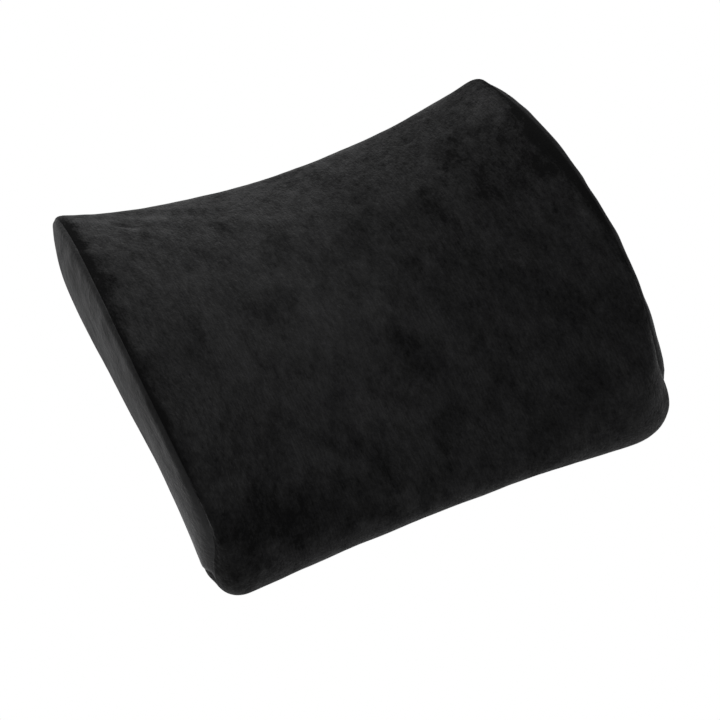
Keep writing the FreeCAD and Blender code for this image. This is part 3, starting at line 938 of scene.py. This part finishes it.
def pile_material(name, contrast, lift, painted_patches):
    """Short velour pile: blotches and streaks where the nap lies differently, darker brushed smudges,
    tufts in fine rows along the height, a soft sheen, and painted shade that darkens the pile beside the
    seams.
    lift lightens it as a whole and a falloff makes it lighter on the left and darker on the right, both
    painted light; painted_patches adds patches painted lighter or darker, partly painted light and shade."""
    item, tree, shader = material(name, 0.95)
    where = object_space(tree)
    layers = [(grain(tree, where, (1.0, 1.0, stretch), *noise_values), share)
              for stretch, *noise_values, share in PILE_LAYERS]
    blotch = layers[0][0]
    smudge = grain(tree, where, (1.0, 1.0, 0.45), 42.0, 4.0, 0.6, 0.25)
    smudge = blend_range(tree, smudge, 0.0, 1.0, 0.57, 0.70)
    rows = wave(tree, where, WAVE_UNIT / ROW_PITCH, 2.5, "X", Detail=2.0, **{"Detail Scale": 1.4})
    rows = maths(tree, "MULTIPLY", rows, blend_range(tree, blotch, 0.2, 1.0, 0.4, 0.6))
    # Painted light: lift raises the pile as a whole, and it falls off from lighter on the left to darker on
    # the right along an uneven edge.
    _, across = height_and_side(tree, where)
    wander = maths(tree, "MULTIPLY", grain(tree, where, EVEN, 11.0, 3.0), 0.16)
    painted_falloff = blend_range(tree, maths(tree, "ADD", across, wander), lift + 0.022, lift - 0.022, 0.04, 0.16)
    # Painted shade beside the seams, read from the panels' point attribute.
    seam_shading = add(tree, "ShaderNodeAttribute", attribute_name="seam_shading").outputs["Fac"]
    uneven = maths(tree, "SUBTRACT", weighted(tree, layers), 0.5)
    parts = ((uneven, contrast), (rows, ROW_GAIN * contrast), (smudge, -SMUDGE_GAIN * contrast),
             (painted_falloff, 1.0), (painted_patches(tree, where), 1.0), (seam_shading, -SEAM_SHADE_GAIN))
    lay = maths(tree, "ADD", weighted(tree, parts), 0.5)
    colour = colour_ramp(tree, lay, ((0.38, PILE_DARK), (0.50, PILE_MIDDLE), (0.64, PILE_LIGHT),
                                     (0.80, PILE_BRIGHT)))
    normal = bump(tree, blotch, 0.30, 2.0 * MM)
    for (value, _), (strength, depth) in zip(layers[1:], PILE_BUMPS):
        normal = bump(tree, value, strength, depth, normal)
    plug(tree, shader, {"Base Color": colour, "Specular IOR Level": 0.10, "Normal": normal,
                        "Sheen Weight": blend_range(tree, lay, 0.015, 0.475, 0.38, 0.80),
                        "Sheen Roughness": 0.5, "Sheen Tint": (0.92, 0.92, 0.93, 1.0)})
    return item


def woven_material(name, dark, light, thread):
    """Woven or knitted cloth: two crossing sets of threads with a colour and height of their own."""
    item, tree, shader = material(name, 0.75)
    where = object_space(tree)
    across, along = (wave(tree, where, WAVE_UNIT / thread, 0.6, axis, Detail=1.0) for axis in "XZ")
    weave = maths(tree, "MULTIPLY", across, along)
    mottle = grain(tree, where, EVEN, 300.0)
    tone = weighted(tree, ((weave, 0.6), (mottle, 0.5)))
    plug(tree, shader, {"Base Color": colour_ramp(tree, tone, ((0.15, dark), (0.85, light))),
                        "Sheen Weight": 0.15, "Normal": bump(tree, tone, 0.7, 0.25 * MM)})
    return item


def webbing_material():
    """Elastic webbing: fine lengthwise ribs with a short crosswise weft."""
    item, tree, shader = material("elastic_webbing", 0.6)
    where = object_space(tree)
    rib = wave(tree, where, 260.0, 0.4, "Z")
    weft = wave(tree, where, 420.0, 1.2, "X", Detail=2.0)
    fuzz = grain(tree, where, (0.4, 1.0, 1.0), 1800.0)
    mix = weighted(tree, ((rib, 0.55), (weft, 0.30), (fuzz, 0.25)))
    colour = colour_ramp(tree, mix, ((0.2, (0.006, 0.006, 0.007)), (0.9, (0.032, 0.032, 0.034))))
    plug(tree, shader, {"Base Color": colour, "Sheen Weight": 0.12, "Normal": bump(tree, mix, 0.8, 0.3 * MM)})
    return item


def rubbed_edges(tree, worn, start, end):
    """Where a moulding's edges are rubbed, between two grades of pointedness, in uneven patches."""
    edge = add(tree, "ShaderNodeNewGeometry").outputs["Pointiness"]
    return maths(tree, "MULTIPLY", blend_range(tree, edge, 0.0, 1.0, start, end), worn)


def rounded_edges(tree, radius):
    """A normal that rounds sharp edges."""
    return add(tree, "ShaderNodeBevel", {"Radius": radius}, samples=4).outputs["Normal"]


def plastic_material():
    """Moulded black acetal: fine spark texture, roughness that changes in patches, and rubbed greyer on its
    edges.
    """
    item, tree, shader = material("buckle_acetal", 0.42)
    where = object_space(tree)
    spark = grain(tree, where, EVEN, 2400.0, 3.0)
    worn = grain(tree, where, EVEN, 160.0, 5.0)
    rubbed = rubbed_edges(tree, worn, 0.5, 0.6)
    colour = colour_ramp(tree, rubbed, ((0.0, (0.010, 0.010, 0.011)), (0.5, (0.045, 0.045, 0.047))))
    plug(tree, shader, {"Base Color": colour, "Roughness": blend_range(tree, worn, 0.34, 0.52),
                        "Normal": bump(tree, spark, 0.25, 0.06 * MM, rounded_edges(tree, 0.35 * MM))})
    return item


def nylon_material():
    """Dyed nylon wire of the zip's coils: glossy, with a faint drawn grain and duller rubbed patches."""
    item, tree, shader = material("zip_nylon", 0.3)
    where = object_space(tree)
    drawn = grain(tree, where, EVEN, 1500.0, 2.0)
    rubbed = grain(tree, where, (0.3, 1.0, 1.0), 220.0, 4.0)
    colour = colour_ramp(tree, rubbed, ((0.35, (0.010, 0.010, 0.011)), (0.7, (0.026, 0.026, 0.028))))
    plug(tree, shader, {"Base Color": colour, "Roughness": blend_range(tree, rubbed, 0.22, 0.45),
                        "Normal": bump(tree, drawn, 0.25, 0.04 * MM)})
    return item


def zip_metal_material():
    """Black lacquered casting, worn to grey metal along its edges."""
    item, tree, shader = material("zip_lacquer", 0.35)
    where = object_space(tree)
    worn = grain(tree, where, EVEN, 700.0, 5.0)
    rubbed = rubbed_edges(tree, worn, 0.52, 0.66)
    colour = colour_ramp(tree, rubbed, ((0.3, (0.012, 0.012, 0.013)), (0.8, (0.14, 0.14, 0.145))))
    plug(tree, shader, {"Base Color": colour, "Metallic": blend_range(tree, rubbed, 0.0, 0.9, 0.2, 0.6),
                        "Roughness": blend_range(tree, worn, 0.25, 0.45),
                        "Normal": bump(tree, worn, 0.15, 0.05 * MM, rounded_edges(tree, 0.2 * MM))})
    return item


def foam_material():
    """Open-cell memory foam: cream with pores of several sizes."""
    item, tree, shader = material("memory_foam_cells", 0.9)
    where = object_space(tree)
    cells = add(tree, "ShaderNodeTexVoronoi", {"Vector": where, "Scale": 520.0}).outputs["Distance"]
    patches = grain(tree, where, EVEN, 40.0)
    tone = weighted(tree, ((cells, 0.6), (patches, 0.6)))
    colour = colour_ramp(tree, tone, ((0.2, (0.52, 0.44, 0.28)), (0.8, (0.80, 0.73, 0.56))))
    plug(tree, shader, {"Base Color": colour, "Subsurface Weight": 0.1,
                        "Normal": bump(tree, cells, 0.8, 0.4 * MM)})
    return item


def thread_material():
    """Twisted black sewing thread."""
    item, tree, shader = material("black_thread", 0.6)
    where = object_space(tree)
    twist = wave(tree, where, 900.0, 0.5, "DIAGONAL")
    colour = colour_ramp(tree, twist, ((0.1, (0.008, 0.008, 0.009)), (0.9, (0.045, 0.045, 0.047))))
    plug(tree, shader, {"Base Color": colour, "Sheen Weight": 0.2,
                        "Normal": bump(tree, twist, 0.6, 0.1 * MM)})
    return item


# ------------------------------------------------------------------ hidden soft pieces

INNER_VOXEL = 4 * MM
INNER_SMOOTHING = 6
# Depth behind the back plane over which an inner piece is moved up against the back.
INNER_LIFT_DEPTH = 30 * MM


def inner_form(name, node, inset, thickness=None):
    """The cushion's form set in to the room that a CAD node holds."""
    form = closed_form(inset=inset)
    remesh(form, INNER_VOXEL)
    smooth = form.modifiers.new("smooth", "SMOOTH")
    smooth.iterations = INNER_SMOOTHING
    apply_modifiers(form)
    lift = high(node).y - max(v.co.y for v in form.data.vertices)
    for vertex in form.data.vertices:
        share = max(0.0, 1 + vertex.co.y / INNER_LIFT_DEPTH)
        vertex.co.y += lift * min(share, 1.0)
    form.data.polygons.foreach_set("use_smooth", [True] * len(form.data.polygons))
    form.name = name
    form.data.name = name
    if thickness:
        thicken(form, thickness)
    return form


# ------------------------------------------------------------------ straps and sewn details

def smooth_line(corners, pitch=1.0 * MM, softness=4):
    """A dense, softened line through corner points in the XY plane."""
    corners = np.array(corners, float)
    run = line_run(corners)
    steps = np.arange(0, run[-1] + pitch / 2, pitch)
    line = points_at(steps, run, corners)
    for _ in range(softness):
        line[1:-1] = (line[:-2] + line[2:] + 2 * line[1:-1]) / 4
    return line


def turn(centre_x, centre_y, radius, direction):
    """Points of the half circle that a strap makes round a bar."""
    bends = np.linspace(-math.pi / 2, math.pi / 2, 14)
    return [(centre_x + direction * radius * math.cos(b), centre_y + radius * math.sin(b)) for b in bends]


RIB_COUNT = 12
RIB_HEIGHT = 0.10 * MM


def ribbed_strap(name, line, width, thick, centre_z):
    """Flat webbing that follows a line in the XY plane, with lengthwise ribs and rounded selvedges."""
    tangent = np.gradient(line, axis=0)
    tangent /= np.linalg.norm(tangent, axis=1, keepdims=True)
    side = np.stack([-tangent[:, 1], tangent[:, 0]], -1)[:, None]
    count = RIB_COUNT * 6
    across = np.linspace(-0.5, 0.5, count)
    rim = np.sqrt(np.clip(1 - (np.abs(across) * 2) ** 16, 0, 1))
    ribs = RIB_HEIGHT * np.cos(across * 2 * math.pi * RIB_COUNT)
    top = (thick / 2 + ribs) * rim
    ring_off = np.concatenate([top, -top[::-1][1:-1]])
    ring_z = np.concatenate([across, across[::-1][1:-1]]) * width
    points = np.zeros((len(line), len(ring_off), 3))
    points[..., :2] = line[:, None] + side * ring_off[:, None]
    points[..., 2] = centre_z + ring_z
    item = grid_object(name, closed_ring(points))
    close_ends(item)
    return item


def close_ends(item):
    """Fills the open ends of a tube."""
    edit_mesh(item, lambda shape: bmesh.ops.holes_fill(
        shape, edges=[e for e in shape.edges if e.is_boundary], sides=0))


STRAP_THICK = 1.6 * MM
SELVEDGE = 0.9 * MM
BAR_TURN = 3.3 * MM
# How a strap leaves its side seam: places outwards of the seam and behind the back plane.
STRAP_EXIT = ((0.8 * MM, -6.5 * MM), (-1.5 * MM, -2.0 * MM), (-8 * MM, -0.2 * MM), (-17 * MM, 1.1 * MM))
STRAP_FLAT = 32 * MM
# Distances from the bar at which the doubled layer leaves its height and lies down on the strap.
LAP_HIGH = 13 * MM
LAP_LOW = 22 * MM
LAP_REST = 0.95 * MM


def strap(name, node, side, rest, end):
    """A strap from its side seam (side -1 left, 1 right), round its buckle bar and back to a free end."""
    box_low, box_high = low(node), high(node)
    bottom = box_low.y + SELVEDGE
    reach = box_high.y - SELVEDGE
    start = box_high.x if side > 0 else box_low.x
    bar = box_low.x + BAR_TURN if side > 0 else box_high.x - BAR_TURN
    corners = [(start + side * out, y) for out, y in STRAP_EXIT]
    corners += [(start - side * STRAP_FLAT, bottom), (bar, bottom)]
    corners += turn(bar, (reach + bottom) / 2, (reach - bottom) / 2, -side)
    corners += [(bar + side * LAP_HIGH, reach), (bar + side * LAP_LOW, rest), (end, rest)]
    return ribbed_strap(name, smooth_line(corners), STRAP_WIDTH, STRAP_THICK, STRAP_LINE)


def strap_left():
    """The adjustable strap: from the left seam, round the bar of the male half, back to its loose end."""
    tail = low("tail_stitching")
    return strap("strap_left_webbing", "strap_left", -1, tail.y - LAP_REST, tail.x - 3 * MM)


def strap_right():
    """The fixed strap: from the right seam, round the bar of the female half, sewn back on itself."""
    end = low("strap_right").x + BAR_TURN + 38 * MM
    return strap("strap_right_webbing", "strap_right", 1, low("loop_bartack").y - LAP_REST, end)


def tube(rings):
    """Points and faces of a closed tube through rings of points."""
    count = len(rings[0])
    points = [point for ring in rings for point in ring]
    faces = []
    for base in range(0, (len(rings) - 1) * count, count):
        for corner in range(count):
            after = (corner + 1) % count
            faces.append((base + corner, base + after, base + count + after, base + count + corner))
    faces.append(tuple(range(count))[::-1])
    last = len(points) - count
    faces.append(tuple(range(last, last + count)))
    return points, faces


def circle(centre, first, second, radius, count):
    """Points of a circle round a centre, in the plane of two unit vectors."""
    bends = [2 * math.pi * corner / count for corner in range(count)]
    return [centre + first * radius * math.cos(b) + second * radius * math.sin(b) for b in bends]


def gathered(name, parts):
    """One object made of many small shapes, each given as points and faces."""
    points = []
    faces = []
    for some_points, some_faces in parts:
        base = len(points)
        points += some_points
        faces += [tuple(base + i for i in face) for face in some_faces]
    return new_object(name, points, faces)


THREAD_RADIUS = 0.28 * MM
STITCH_RISE = 0.25 * MM
STITCH_RINGS = 7
# Height of the straps' stitches over the low side of their room.
THREAD_LIFT = 0.25 * MM
TACK_COLUMNS = 5
TACK_ROWS = 26
HEM_STITCH = 1.9 * MM
HEM_STITCH_PITCH = 2.5 * MM
TOPSTITCH = 2.5 * MM
TOPSTITCH_PITCH = 3.3 * MM
TOPSTITCH_EDGE = 2.4 * MM


def stitch(start, end):
    """One sewn stitch: a short thread that rises in the middle and dives at both ends."""
    start = Vector(start)
    end = Vector(end)
    out = Vector((0, 1, 0))
    side = (end - start).normalized().cross(out)
    rings = []
    for ring in range(STITCH_RINGS):
        share = ring / (STITCH_RINGS - 1)
        rise = math.sin(math.pi * share)
        centre = start.lerp(end, share) + out * (rise * 2 - 1) * STITCH_RISE
        rings.append(circle(centre, side, out, THREAD_RADIUS * (0.55 + 0.45 * rise), 7))
    return tube(rings)


def stitch_rows(name, ends):
    """Many stitches as one object, each from its start to its end."""
    item = gathered(name, [stitch(start, end) for start, end in ends])
    weld(item, 0.001 * MM)
    return item


def bartack():
    """Dense bartack that closes the right strap's loop."""
    box_low, box_high = low("loop_bartack"), high("loop_bartack")
    y = box_low.y + THREAD_LIFT
    ends = []
    for column in range(TACK_COLUMNS):
        x = box_low.x + 0.4 * MM + column * 1.5 * MM
        for number in range(TACK_ROWS):
            z = box_low.z + (box_high.z - box_low.z) * number / TACK_ROWS
            ends.append(((x, y, z), (x + 0.9 * MM, y, z + 0.85 * MM)))
    return stitch_rows("loop_bartack_thread", ends)


def tail_hem():
    """Two rows of hem stitching across the loose end."""
    box_low, box_high = low("tail_stitching"), high("tail_stitching")
    y = box_low.y + THREAD_LIFT
    ends = []
    for x in (box_low.x + 0.3 * MM, box_high.x - 0.3 * MM):
        z = box_low.z
        while z < box_high.z - 1.5 * MM:
            ends.append(((x, y, z), (x, y, z + HEM_STITCH)))
            z += HEM_STITCH_PITCH
    return stitch_rows("tail_hem_thread", ends)


def zip_topstitch():
    """The visible rows of stitching that hold the zip tapes under the folded edges of the back panels."""
    ends = []
    reach = BACK_HALVES[1] - 8 * MM
    for z in (ZIP_LOW - TOPSTITCH_EDGE, ZIP_HIGH + TOPSTITCH_EDGE):
        x = -reach
        while x < reach - 2.6 * MM:
            ends.append(((x, -0.1 * MM, z), (x + TOPSTITCH, -0.1 * MM, z)))
            x += TOPSTITCH_PITCH
    return stitch_rows("zip_topstitch_thread", ends)


KEEPER_WALL = Vector((0, 0.9 * MM, 1.0 * MM))
KEEPER_CORNERS = (1.5 * MM, 0.9 * MM)
KEEPER_ROWS = 13
KEEPER_RIB_PITCH = 0.9 * MM
# How much of the wall the ribs and the thinning of the edges take.
KEEPER_RIB = 0.05
KEEPER_EDGE = 0.25


def rounded_outline(box_low, box_high, radius, count=8):
    """A rectangle with round corners in the YZ plane."""
    centres = [(box_high.y - radius, box_high.z - radius), (box_low.y + radius, box_high.z - radius),
               (box_low.y + radius, box_low.z + radius), (box_high.y - radius, box_low.z + radius)]
    line = []
    for number, (y, z) in enumerate(centres):
        for step in range(count):
            angle = math.radians(90 * number + 90 * step / (count - 1))
            line.append((y + radius * math.cos(angle), z + radius * math.sin(angle)))
    return np.array(line)


def keeper():
    """The keeper: a flat ribbed elastic loop round the strap, drawn out along X in its CAD node's room."""
    box_low, box_high = low("strap_keeper"), high("strap_keeper")
    outer = rounded_outline(box_low, box_high, KEEPER_CORNERS[0])
    inner = rounded_outline(box_low + KEEPER_WALL, box_high - KEEPER_WALL, KEEPER_CORNERS[1])
    middle = (outer + inner) / 2
    xs = np.linspace(box_low.x, box_high.x, KEEPER_ROWS)
    rim = KEEPER_EDGE * np.abs(np.linspace(-1, 1, KEEPER_ROWS)) ** 6
    rows = []
    for x, thin in zip(xs, rim):
        rib = KEEPER_RIB * math.cos(x / KEEPER_RIB_PITCH * 2 * math.pi)
        rows.append((x, outer + (middle - outer) * thin + (outer - middle) * rib))
    for x, thin in zip(xs[::-1], rim):
        rows.append((x, inner + (middle - inner) * thin))
    rows.append(rows[0])
    points = np.array([np.column_stack([np.full(len(line), x), line]) for x, line in rows])
    return grid_object("keeper_elastic", closed_ring(points))


def care_label():
    """A blank folded ribbon that comes out of the right seam and curls a little off the fabric."""
    box_low, box_high = low("care_label"), high("care_label")
    line = [(box_high.x - 0.3 * MM, -6.0 * MM), (box_high.x - 1.2 * MM, -3.2 * MM)]
    for share in np.linspace(0.08, 1, 28):
        x = box_high.x - share * (box_high.x - box_low.x)
        rest = -BACK_LIFT * (x / BACK_HALVES[1]) ** 8 + 0.35 * MM
        line.append((x, rest + 1.6 * MM * share ** 2 + 0.25 * MM * math.sin(share * 9)))
    upper = [(x, y + 0.42 * MM) for x, y in line[::-1]]
    fold = [(line[-1][0] - 0.35 * MM, line[-1][1] + 0.21 * MM)]
    path = smooth_line(line + fold + upper, 0.6 * MM, 2)
    width = box_high.z - box_low.z
    across = np.linspace(-0.5, 0.5, 14)
    points = np.zeros((len(path), len(across), 3))
    points[..., 0] = path[:, 0:1]
    points[..., 1] = path[:, 1:2] + 0.12 * MM * np.cos(across * 5)
    points[..., 2] = (box_low.z + box_high.z) / 2 + across * width
    item = grid_object("care_label_ribbon", points)
    thicken(item, 0.16 * MM, 0.0)
    return item


# ------------------------------------------------------------------ the zip

ALONG = Vector((1, 0, 0))
TOOTH_PITCH = 1.45 * MM
WIRE = 0.36 * MM
# How far a tape's end stays inside the side seam.
TAPE_TUCK = 4.0 * MM
# How far from the middle the two tapes begin to close up.
TAPE_MEET = 137.0 * MM


def wire(path, radius, segments):
    """Points and faces of a round wire along a path of points."""
    path = [Vector(p) for p in path]
    rings = []
    for index, centre in enumerate(path):
        ahead = path[min(index + 1, len(path) - 1)]
        behind = path[max(index - 1, 0)]
        axis = (ahead - behind).normalized()
        first = axis.orthogonal().normalized() if abs(axis.x) > 0.9 else axis.cross(ALONG).normalized()
        rings.append(circle(centre, first, axis.cross(first), radius, segments))
    return tube(rings)


def coil_row(name, side):
    """One coil of the zip: loops of nylon wire along the edge of its tape; side is 1 above, -1 below."""
    box_low, box_high = low("zip_coil_upper"), high("zip_coil_upper")
    bottom = box_low.y + WIRE
    top = box_high.y - WIRE
    heel = ZIP_LINE + side * 2.5 * MM
    head = ZIP_LINE + side * 0.75 * MM
    neck = head + side * 0.5 * MM
    tip = head - side * 0.28 * MM
    step = 0.05 * MM
    loops = []
    for number in range(int((box_high.x - box_low.x) / TOOTH_PITCH)):
        x = box_low.x + (number + (0.5 if side > 0 else 1.0)) * TOOTH_PITCH - 0.3 * MM
        path = [(x, bottom, heel), (x, bottom, neck), (x + step, bottom + 0.15 * MM, head),
                (x + 2 * step, (top + bottom) / 2, tip),
                (x + step, top - 0.15 * MM, head), (x, top, neck), (x, top, heel)]
        loops.append(wire(path, WIRE, 8))
    return gathered(name, loops)


# Height of an interlocked head's wire over its middle, and how far it reaches past the zip's line.
HEAD_LINE = ((-0.45, -0.75), (-0.30, 0.35), (0.0, 0.62), (0.30, 0.35), (0.45, -0.75))


def mesh_line():
    """The interlocked heads between the two coils, which close up behind the slider."""
    box_low, box_high = low("zip_coil_upper"), high("zip_coil_upper")
    middle = (box_low.y + box_high.y) / 2
    heads = []
    for number in range(int((box_high.x - box_low.x) / TOOTH_PITCH * 2)):
        x = box_low.x + (number + 0.5) * TOOTH_PITCH / 2
        side = 1 if number % 2 else -1
        path = [(x, middle + rise * MM, ZIP_LINE - side * reach * MM) for rise, reach in HEAD_LINE]
        heads.append(wire(path, 0.30 * MM, 6))
    return gathered("zip_interlock", heads)


def zip_tape(name, node, side):
    """A woven tape with a raised corded edge, slightly wavy where it is sewn in; the two tapes meet
    beyond the stops."""
    box_low, box_high = low(node), high(node)
    reach = min(box_high.x, BACK_HALVES[1] - TAPE_TUCK)
    xs = np.linspace(-reach, reach, 220)
    across = np.linspace(0, 1, 20)
    points = np.zeros((len(xs), len(across), 3))
    points[..., 0] = xs[:, None]
    inner = box_low.z if side > 0 else box_high.z
    outer = box_high.z if side > 0 else box_low.z
    meet = np.clip((np.abs(xs) - TAPE_MEET) / (4 * MM), 0, 1)[:, None]
    inner = inner + (ZIP_LINE + side * 0.1 * MM - inner) * meet
    points[..., 2] = inner + (outer - inner) * across
    cord = 0.22 * MM * np.exp(-((across - 0.06) / 0.05) ** 2)
    wave = 0.12 * MM * np.sin(xs / (9 * MM))[:, None] * across
    sink = -BACK_LIFT * (xs / BACK_HALVES[0])[:, None] ** 8
    points[..., 1] = box_high.y - 0.30 * MM + cord + wave + sink
    item = grid_object(name, points)
    thicken(item, 0.45 * MM, 0.0)
    return item


# ------------------------------------------------------------------ dressing, stage, light and camera

def dress(item, look, body, slot, *nodes):
    """Gives a piece its material and its body, and hides the CAD nodes it stands for. slot is not used."""
    item.data.materials.clear()
    item.data.materials.append(look)
    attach(item, body)
    if nodes:
        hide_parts(*nodes)
    return item


def cover():
    """The five panels of the pile cover."""
    # The front and back pile carries patches of nap and of painted light and shade, and a painted sheen band
    # along the foot.
    look = pile_material("velour_pile", 1.05, 0.0, patches_and_foot_sheen)
    # The sides' copy of the pile is lifted lighter as a whole, painted light for the lit left side, and
    # carries painted light at the left foot.
    plain = pile_material("velour_pile_side", 0.6, 0.035, painted_foot_light)
    form = Body()
    dress(front_panel(form), look, ROOT, "pile_fabric", "front_panel")
    dress(side_panel(-1, form), plain, ROOT, "pile_fabric", "side_panel_left")
    dress(side_panel(1, form), plain, ROOT, "pile_fabric", "side_panel_right")
    for end, zip_edge, cross_seam in (("lower", ZIP_LOW, SEAM_LOW), ("upper", ZIP_HIGH, SEAM_HIGH)):
        panel = back_panel(f"back_panel_pile_{end}", zip_edge, cross_seam, form)
        dress(panel, look, ROOT, "pile_fabric", f"back_panel_{end}")


def filling():
    """Foam core and knitted liner."""
    core = inner_form("foam_core_block", "foam_core", 7 * MM)
    dress(core, foam_material(), ROOT, "memory_foam", "foam_core")
    knit = woven_material("tricot_knit", (0.50, 0.49, 0.46), (0.80, 0.79, 0.76), 0.9 * MM)
    liner = inner_form("inner_liner_knit", "inner_liner", 5.5 * MM, 0.7 * MM)
    dress(liner, knit, ROOT, "knit_liner", "inner_liner")


def zip_fittings(thread):
    """Tapes, coils, stitching and the lacquered metal parts of the zip."""
    tape = woven_material("zip_tape_weave", (0.006, 0.006, 0.007), (0.035, 0.035, 0.037), 0.55 * MM)
    nylon = nylon_material()
    for end, side in (("upper", 1), ("lower", -1)):
        dress(zip_tape(f"zip_tape_woven_{end}", f"zip_tape_{end}", side), tape, ROOT, "zip_tape",
              f"zip_tape_{end}")
        dress(coil_row(f"zip_coil_wire_{end}", side), nylon, ROOT, "zip_coil", f"zip_coil_{end}")
    line = dress(mesh_line(), nylon, ROOT, "zip_coil")
    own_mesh(line)
    dress(zip_topstitch(), thread, ROOT, "thread")
    metal = zip_metal_material()
    for node in ("zip_slider", "zip_pull_tab", "zip_top_stops", "zip_bottom_stop"):
        paint_node(node, metal)


def paint_node(node, look):
    """Gives a carried-over CAD node a better material."""
    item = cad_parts[node]
    if not item.material_slots:
        item.data.materials.append(look)
    for slot in item.material_slots:
        slot.material = look


def strap_fittings(thread):
    """Webbing, keeper, label, stitching and the buckle."""
    webbing = webbing_material()
    dress(strap_left(), webbing, ROOT, "webbing", "strap_left")
    right = dress(strap_right(), webbing, ROOT, "webbing", "strap_right")
    tack = dress(bartack(), thread, ROOT, "thread", "loop_bartack")
    for piece in (right, tack):
        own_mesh(piece)
    dress(tail_hem(), thread, ROOT, "thread", "tail_stitching")
    dress(keeper(), webbing, "keeper", "webbing", "strap_keeper")
    satin = woven_material("blank_satin", (0.52, 0.52, 0.50), (0.80, 0.80, 0.78), 0.35 * MM)
    dress(care_label(), satin, ROOT, "label_cloth", "care_label")
    acetal = plastic_material()
    for node in ("buckle_male", "buckle_female", "buckle_arm_upper", "buckle_arm_lower"):
        paint_node(node, acetal)


def one_sided(tree, shader, edge_start, edge_end):
    """Lets a stage surface be seen from its front only, and fades it out with distance."""
    geometry = add(tree, "ShaderNodeNewGeometry")
    distance = add(tree, "ShaderNodeVectorMath", {0: geometry.outputs["Position"]}, operation="LENGTH")
    fade = blend_range(tree, distance.outputs["Value"], 0.0, 1.0, edge_start, edge_end)
    hide = maths(tree, "MAXIMUM", fade, geometry.outputs["Backfacing"])
    clear = add(tree, "ShaderNodeBsdfTransparent")
    mix = add(tree, "ShaderNodeMixShader", {0: hide, 1: shader.outputs[0], 2: clear.outputs[0]})
    tree.links.new(mix.outputs[0], tree.nodes["Material Output"].inputs["Surface"])


def floor():
    """A plain pale floor under the cushion, seen only from above."""
    look, tree, shader = material("pale_floor", 0.9)
    plug(tree, shader, {"Base Color": (0.80, 0.80, 0.80, 1.0), "Specular IOR Level": 0.1,
                        "Emission Color": (1.0, 1.0, 1.0, 1.0), "Emission Strength": 0.35})
    one_sided(tree, shader, 0.35, 2.4)
    z = CAD_BOX[0].z - 1.0 * MM
    reach = 3.0
    corners = [(x * reach, y * reach, z) for x, y in ((-1, -1), (1, -1), (1, 1), (-1, 1))]
    item = new_object("floor", corners, [(0, 1, 2, 3)], smooth=False)
    item.data.materials.append(look)
    for ray in ("diffuse", "glossy", "transmission", "shadow"):
        setattr(item, f"visible_{ray}", False)


def area_light(name, place, aim, size, power):
    """A square soft light that points at aim."""
    data = bpy.data.lights.new(name, "AREA")
    data.size = size
    data.energy = power
    item = bpy.data.objects.new(name, data)
    item.location = place
    item.rotation_euler = (Vector(aim) - Vector(place)).to_track_quat("-Z", "Y").to_euler()
    bpy.context.scene.collection.objects.link(item)


def studio():
    """A white room: even light all round, a broad soft key from the left and top, and a weak fill."""
    world = bpy.data.worlds.new("studio")
    bpy.context.scene.world = world
    world.use_nodes = True
    tree = world.node_tree
    seen = add(tree, "ShaderNodeBackground", {"Color": (1.0, 1.0, 1.0, 1.0), "Strength": 1.0})
    light = tree.nodes["Background"]
    plug(tree, light, {"Color": (1.0, 1.0, 1.0, 1.0), "Strength": 0.29})
    path = add(tree, "ShaderNodeLightPath")
    mix = add(tree, "ShaderNodeMixShader", {0: path.outputs["Is Camera Ray"], 1: light.outputs[0],
                                            2: seen.outputs[0]})
    tree.links.new(mix.outputs[0], tree.nodes["World Output"].inputs["Surface"])
    aim = (0.0, -0.04, HEIGHT / 2)
    area_light("key", (-0.3, -0.6, 1.7), aim, 1.0, 8.0)
    area_light("front", (-0.4, -1.7, -0.4), aim, 1.0, 12.5)
    area_light("under", (0.3, -0.8, -1.3), aim, 1.0, 4.0)
    area_light("rear", (0.6, 1.6, 0.9), aim, 1.0, 38.0)


CAMERA_AZIMUTH = -23.775
CAMERA_TILT = 53.70
CAMERA_DISTANCE = 1.394
CAMERA_LENS = 109.15
SENSOR = 36.0
AIM = Vector((0.0, -0.0296, HEIGHT / 2))
GROUND_UP = Vector((0, -1, 0))
# How far the picture's centre lies from the aim point, as a share of the picture's width, right and up.
CENTRE_SHIFT = (0.0010, -0.0641)


def picture_axes(back):
    """The picture's right and up directions for a direction that points back at the camera."""
    right = GROUND_UP.cross(back).normalized()
    return right, back.cross(right)


def camera():
    """The picture is taken from in front, to the left and below, so the front face and left side show,
    with the cushion's back plane as the ground that the picture's upright stands on."""
    azimuth = math.radians(CAMERA_AZIMUTH)
    tilt = math.radians(CAMERA_TILT)
    view = Vector((math.sin(azimuth) * math.cos(tilt), -math.sin(tilt), -math.cos(azimuth) * math.cos(tilt)))
    right, up = picture_axes(view)
    data = bpy.data.cameras.new("camera")
    data.lens = CAMERA_LENS
    data.sensor_width = SENSOR
    data.clip_start = 0.05
    span = CAMERA_DISTANCE * SENSOR / CAMERA_LENS
    place = AIM + view * CAMERA_DISTANCE
    target = AIM + (right * CENTRE_SHIFT[0] + up * CENTRE_SHIFT[1]) * span
    back = (place - target).normalized()
    right, up = picture_axes(back)
    item = bpy.data.objects.new("camera", data)
    turn_matrix = Matrix((right, up, back)).transposed().to_4x4()
    item.matrix_world = Matrix.Translation(place) @ turn_matrix
    bpy.context.scene.collection.objects.link(item)
    bpy.context.scene.camera = item


bpy.context.scene.view_settings.view_transform = "Standard"
cover()
filling()
black_thread = thread_material()
zip_fittings(black_thread)
strap_fittings(black_thread)
floor()
studio()
camera()
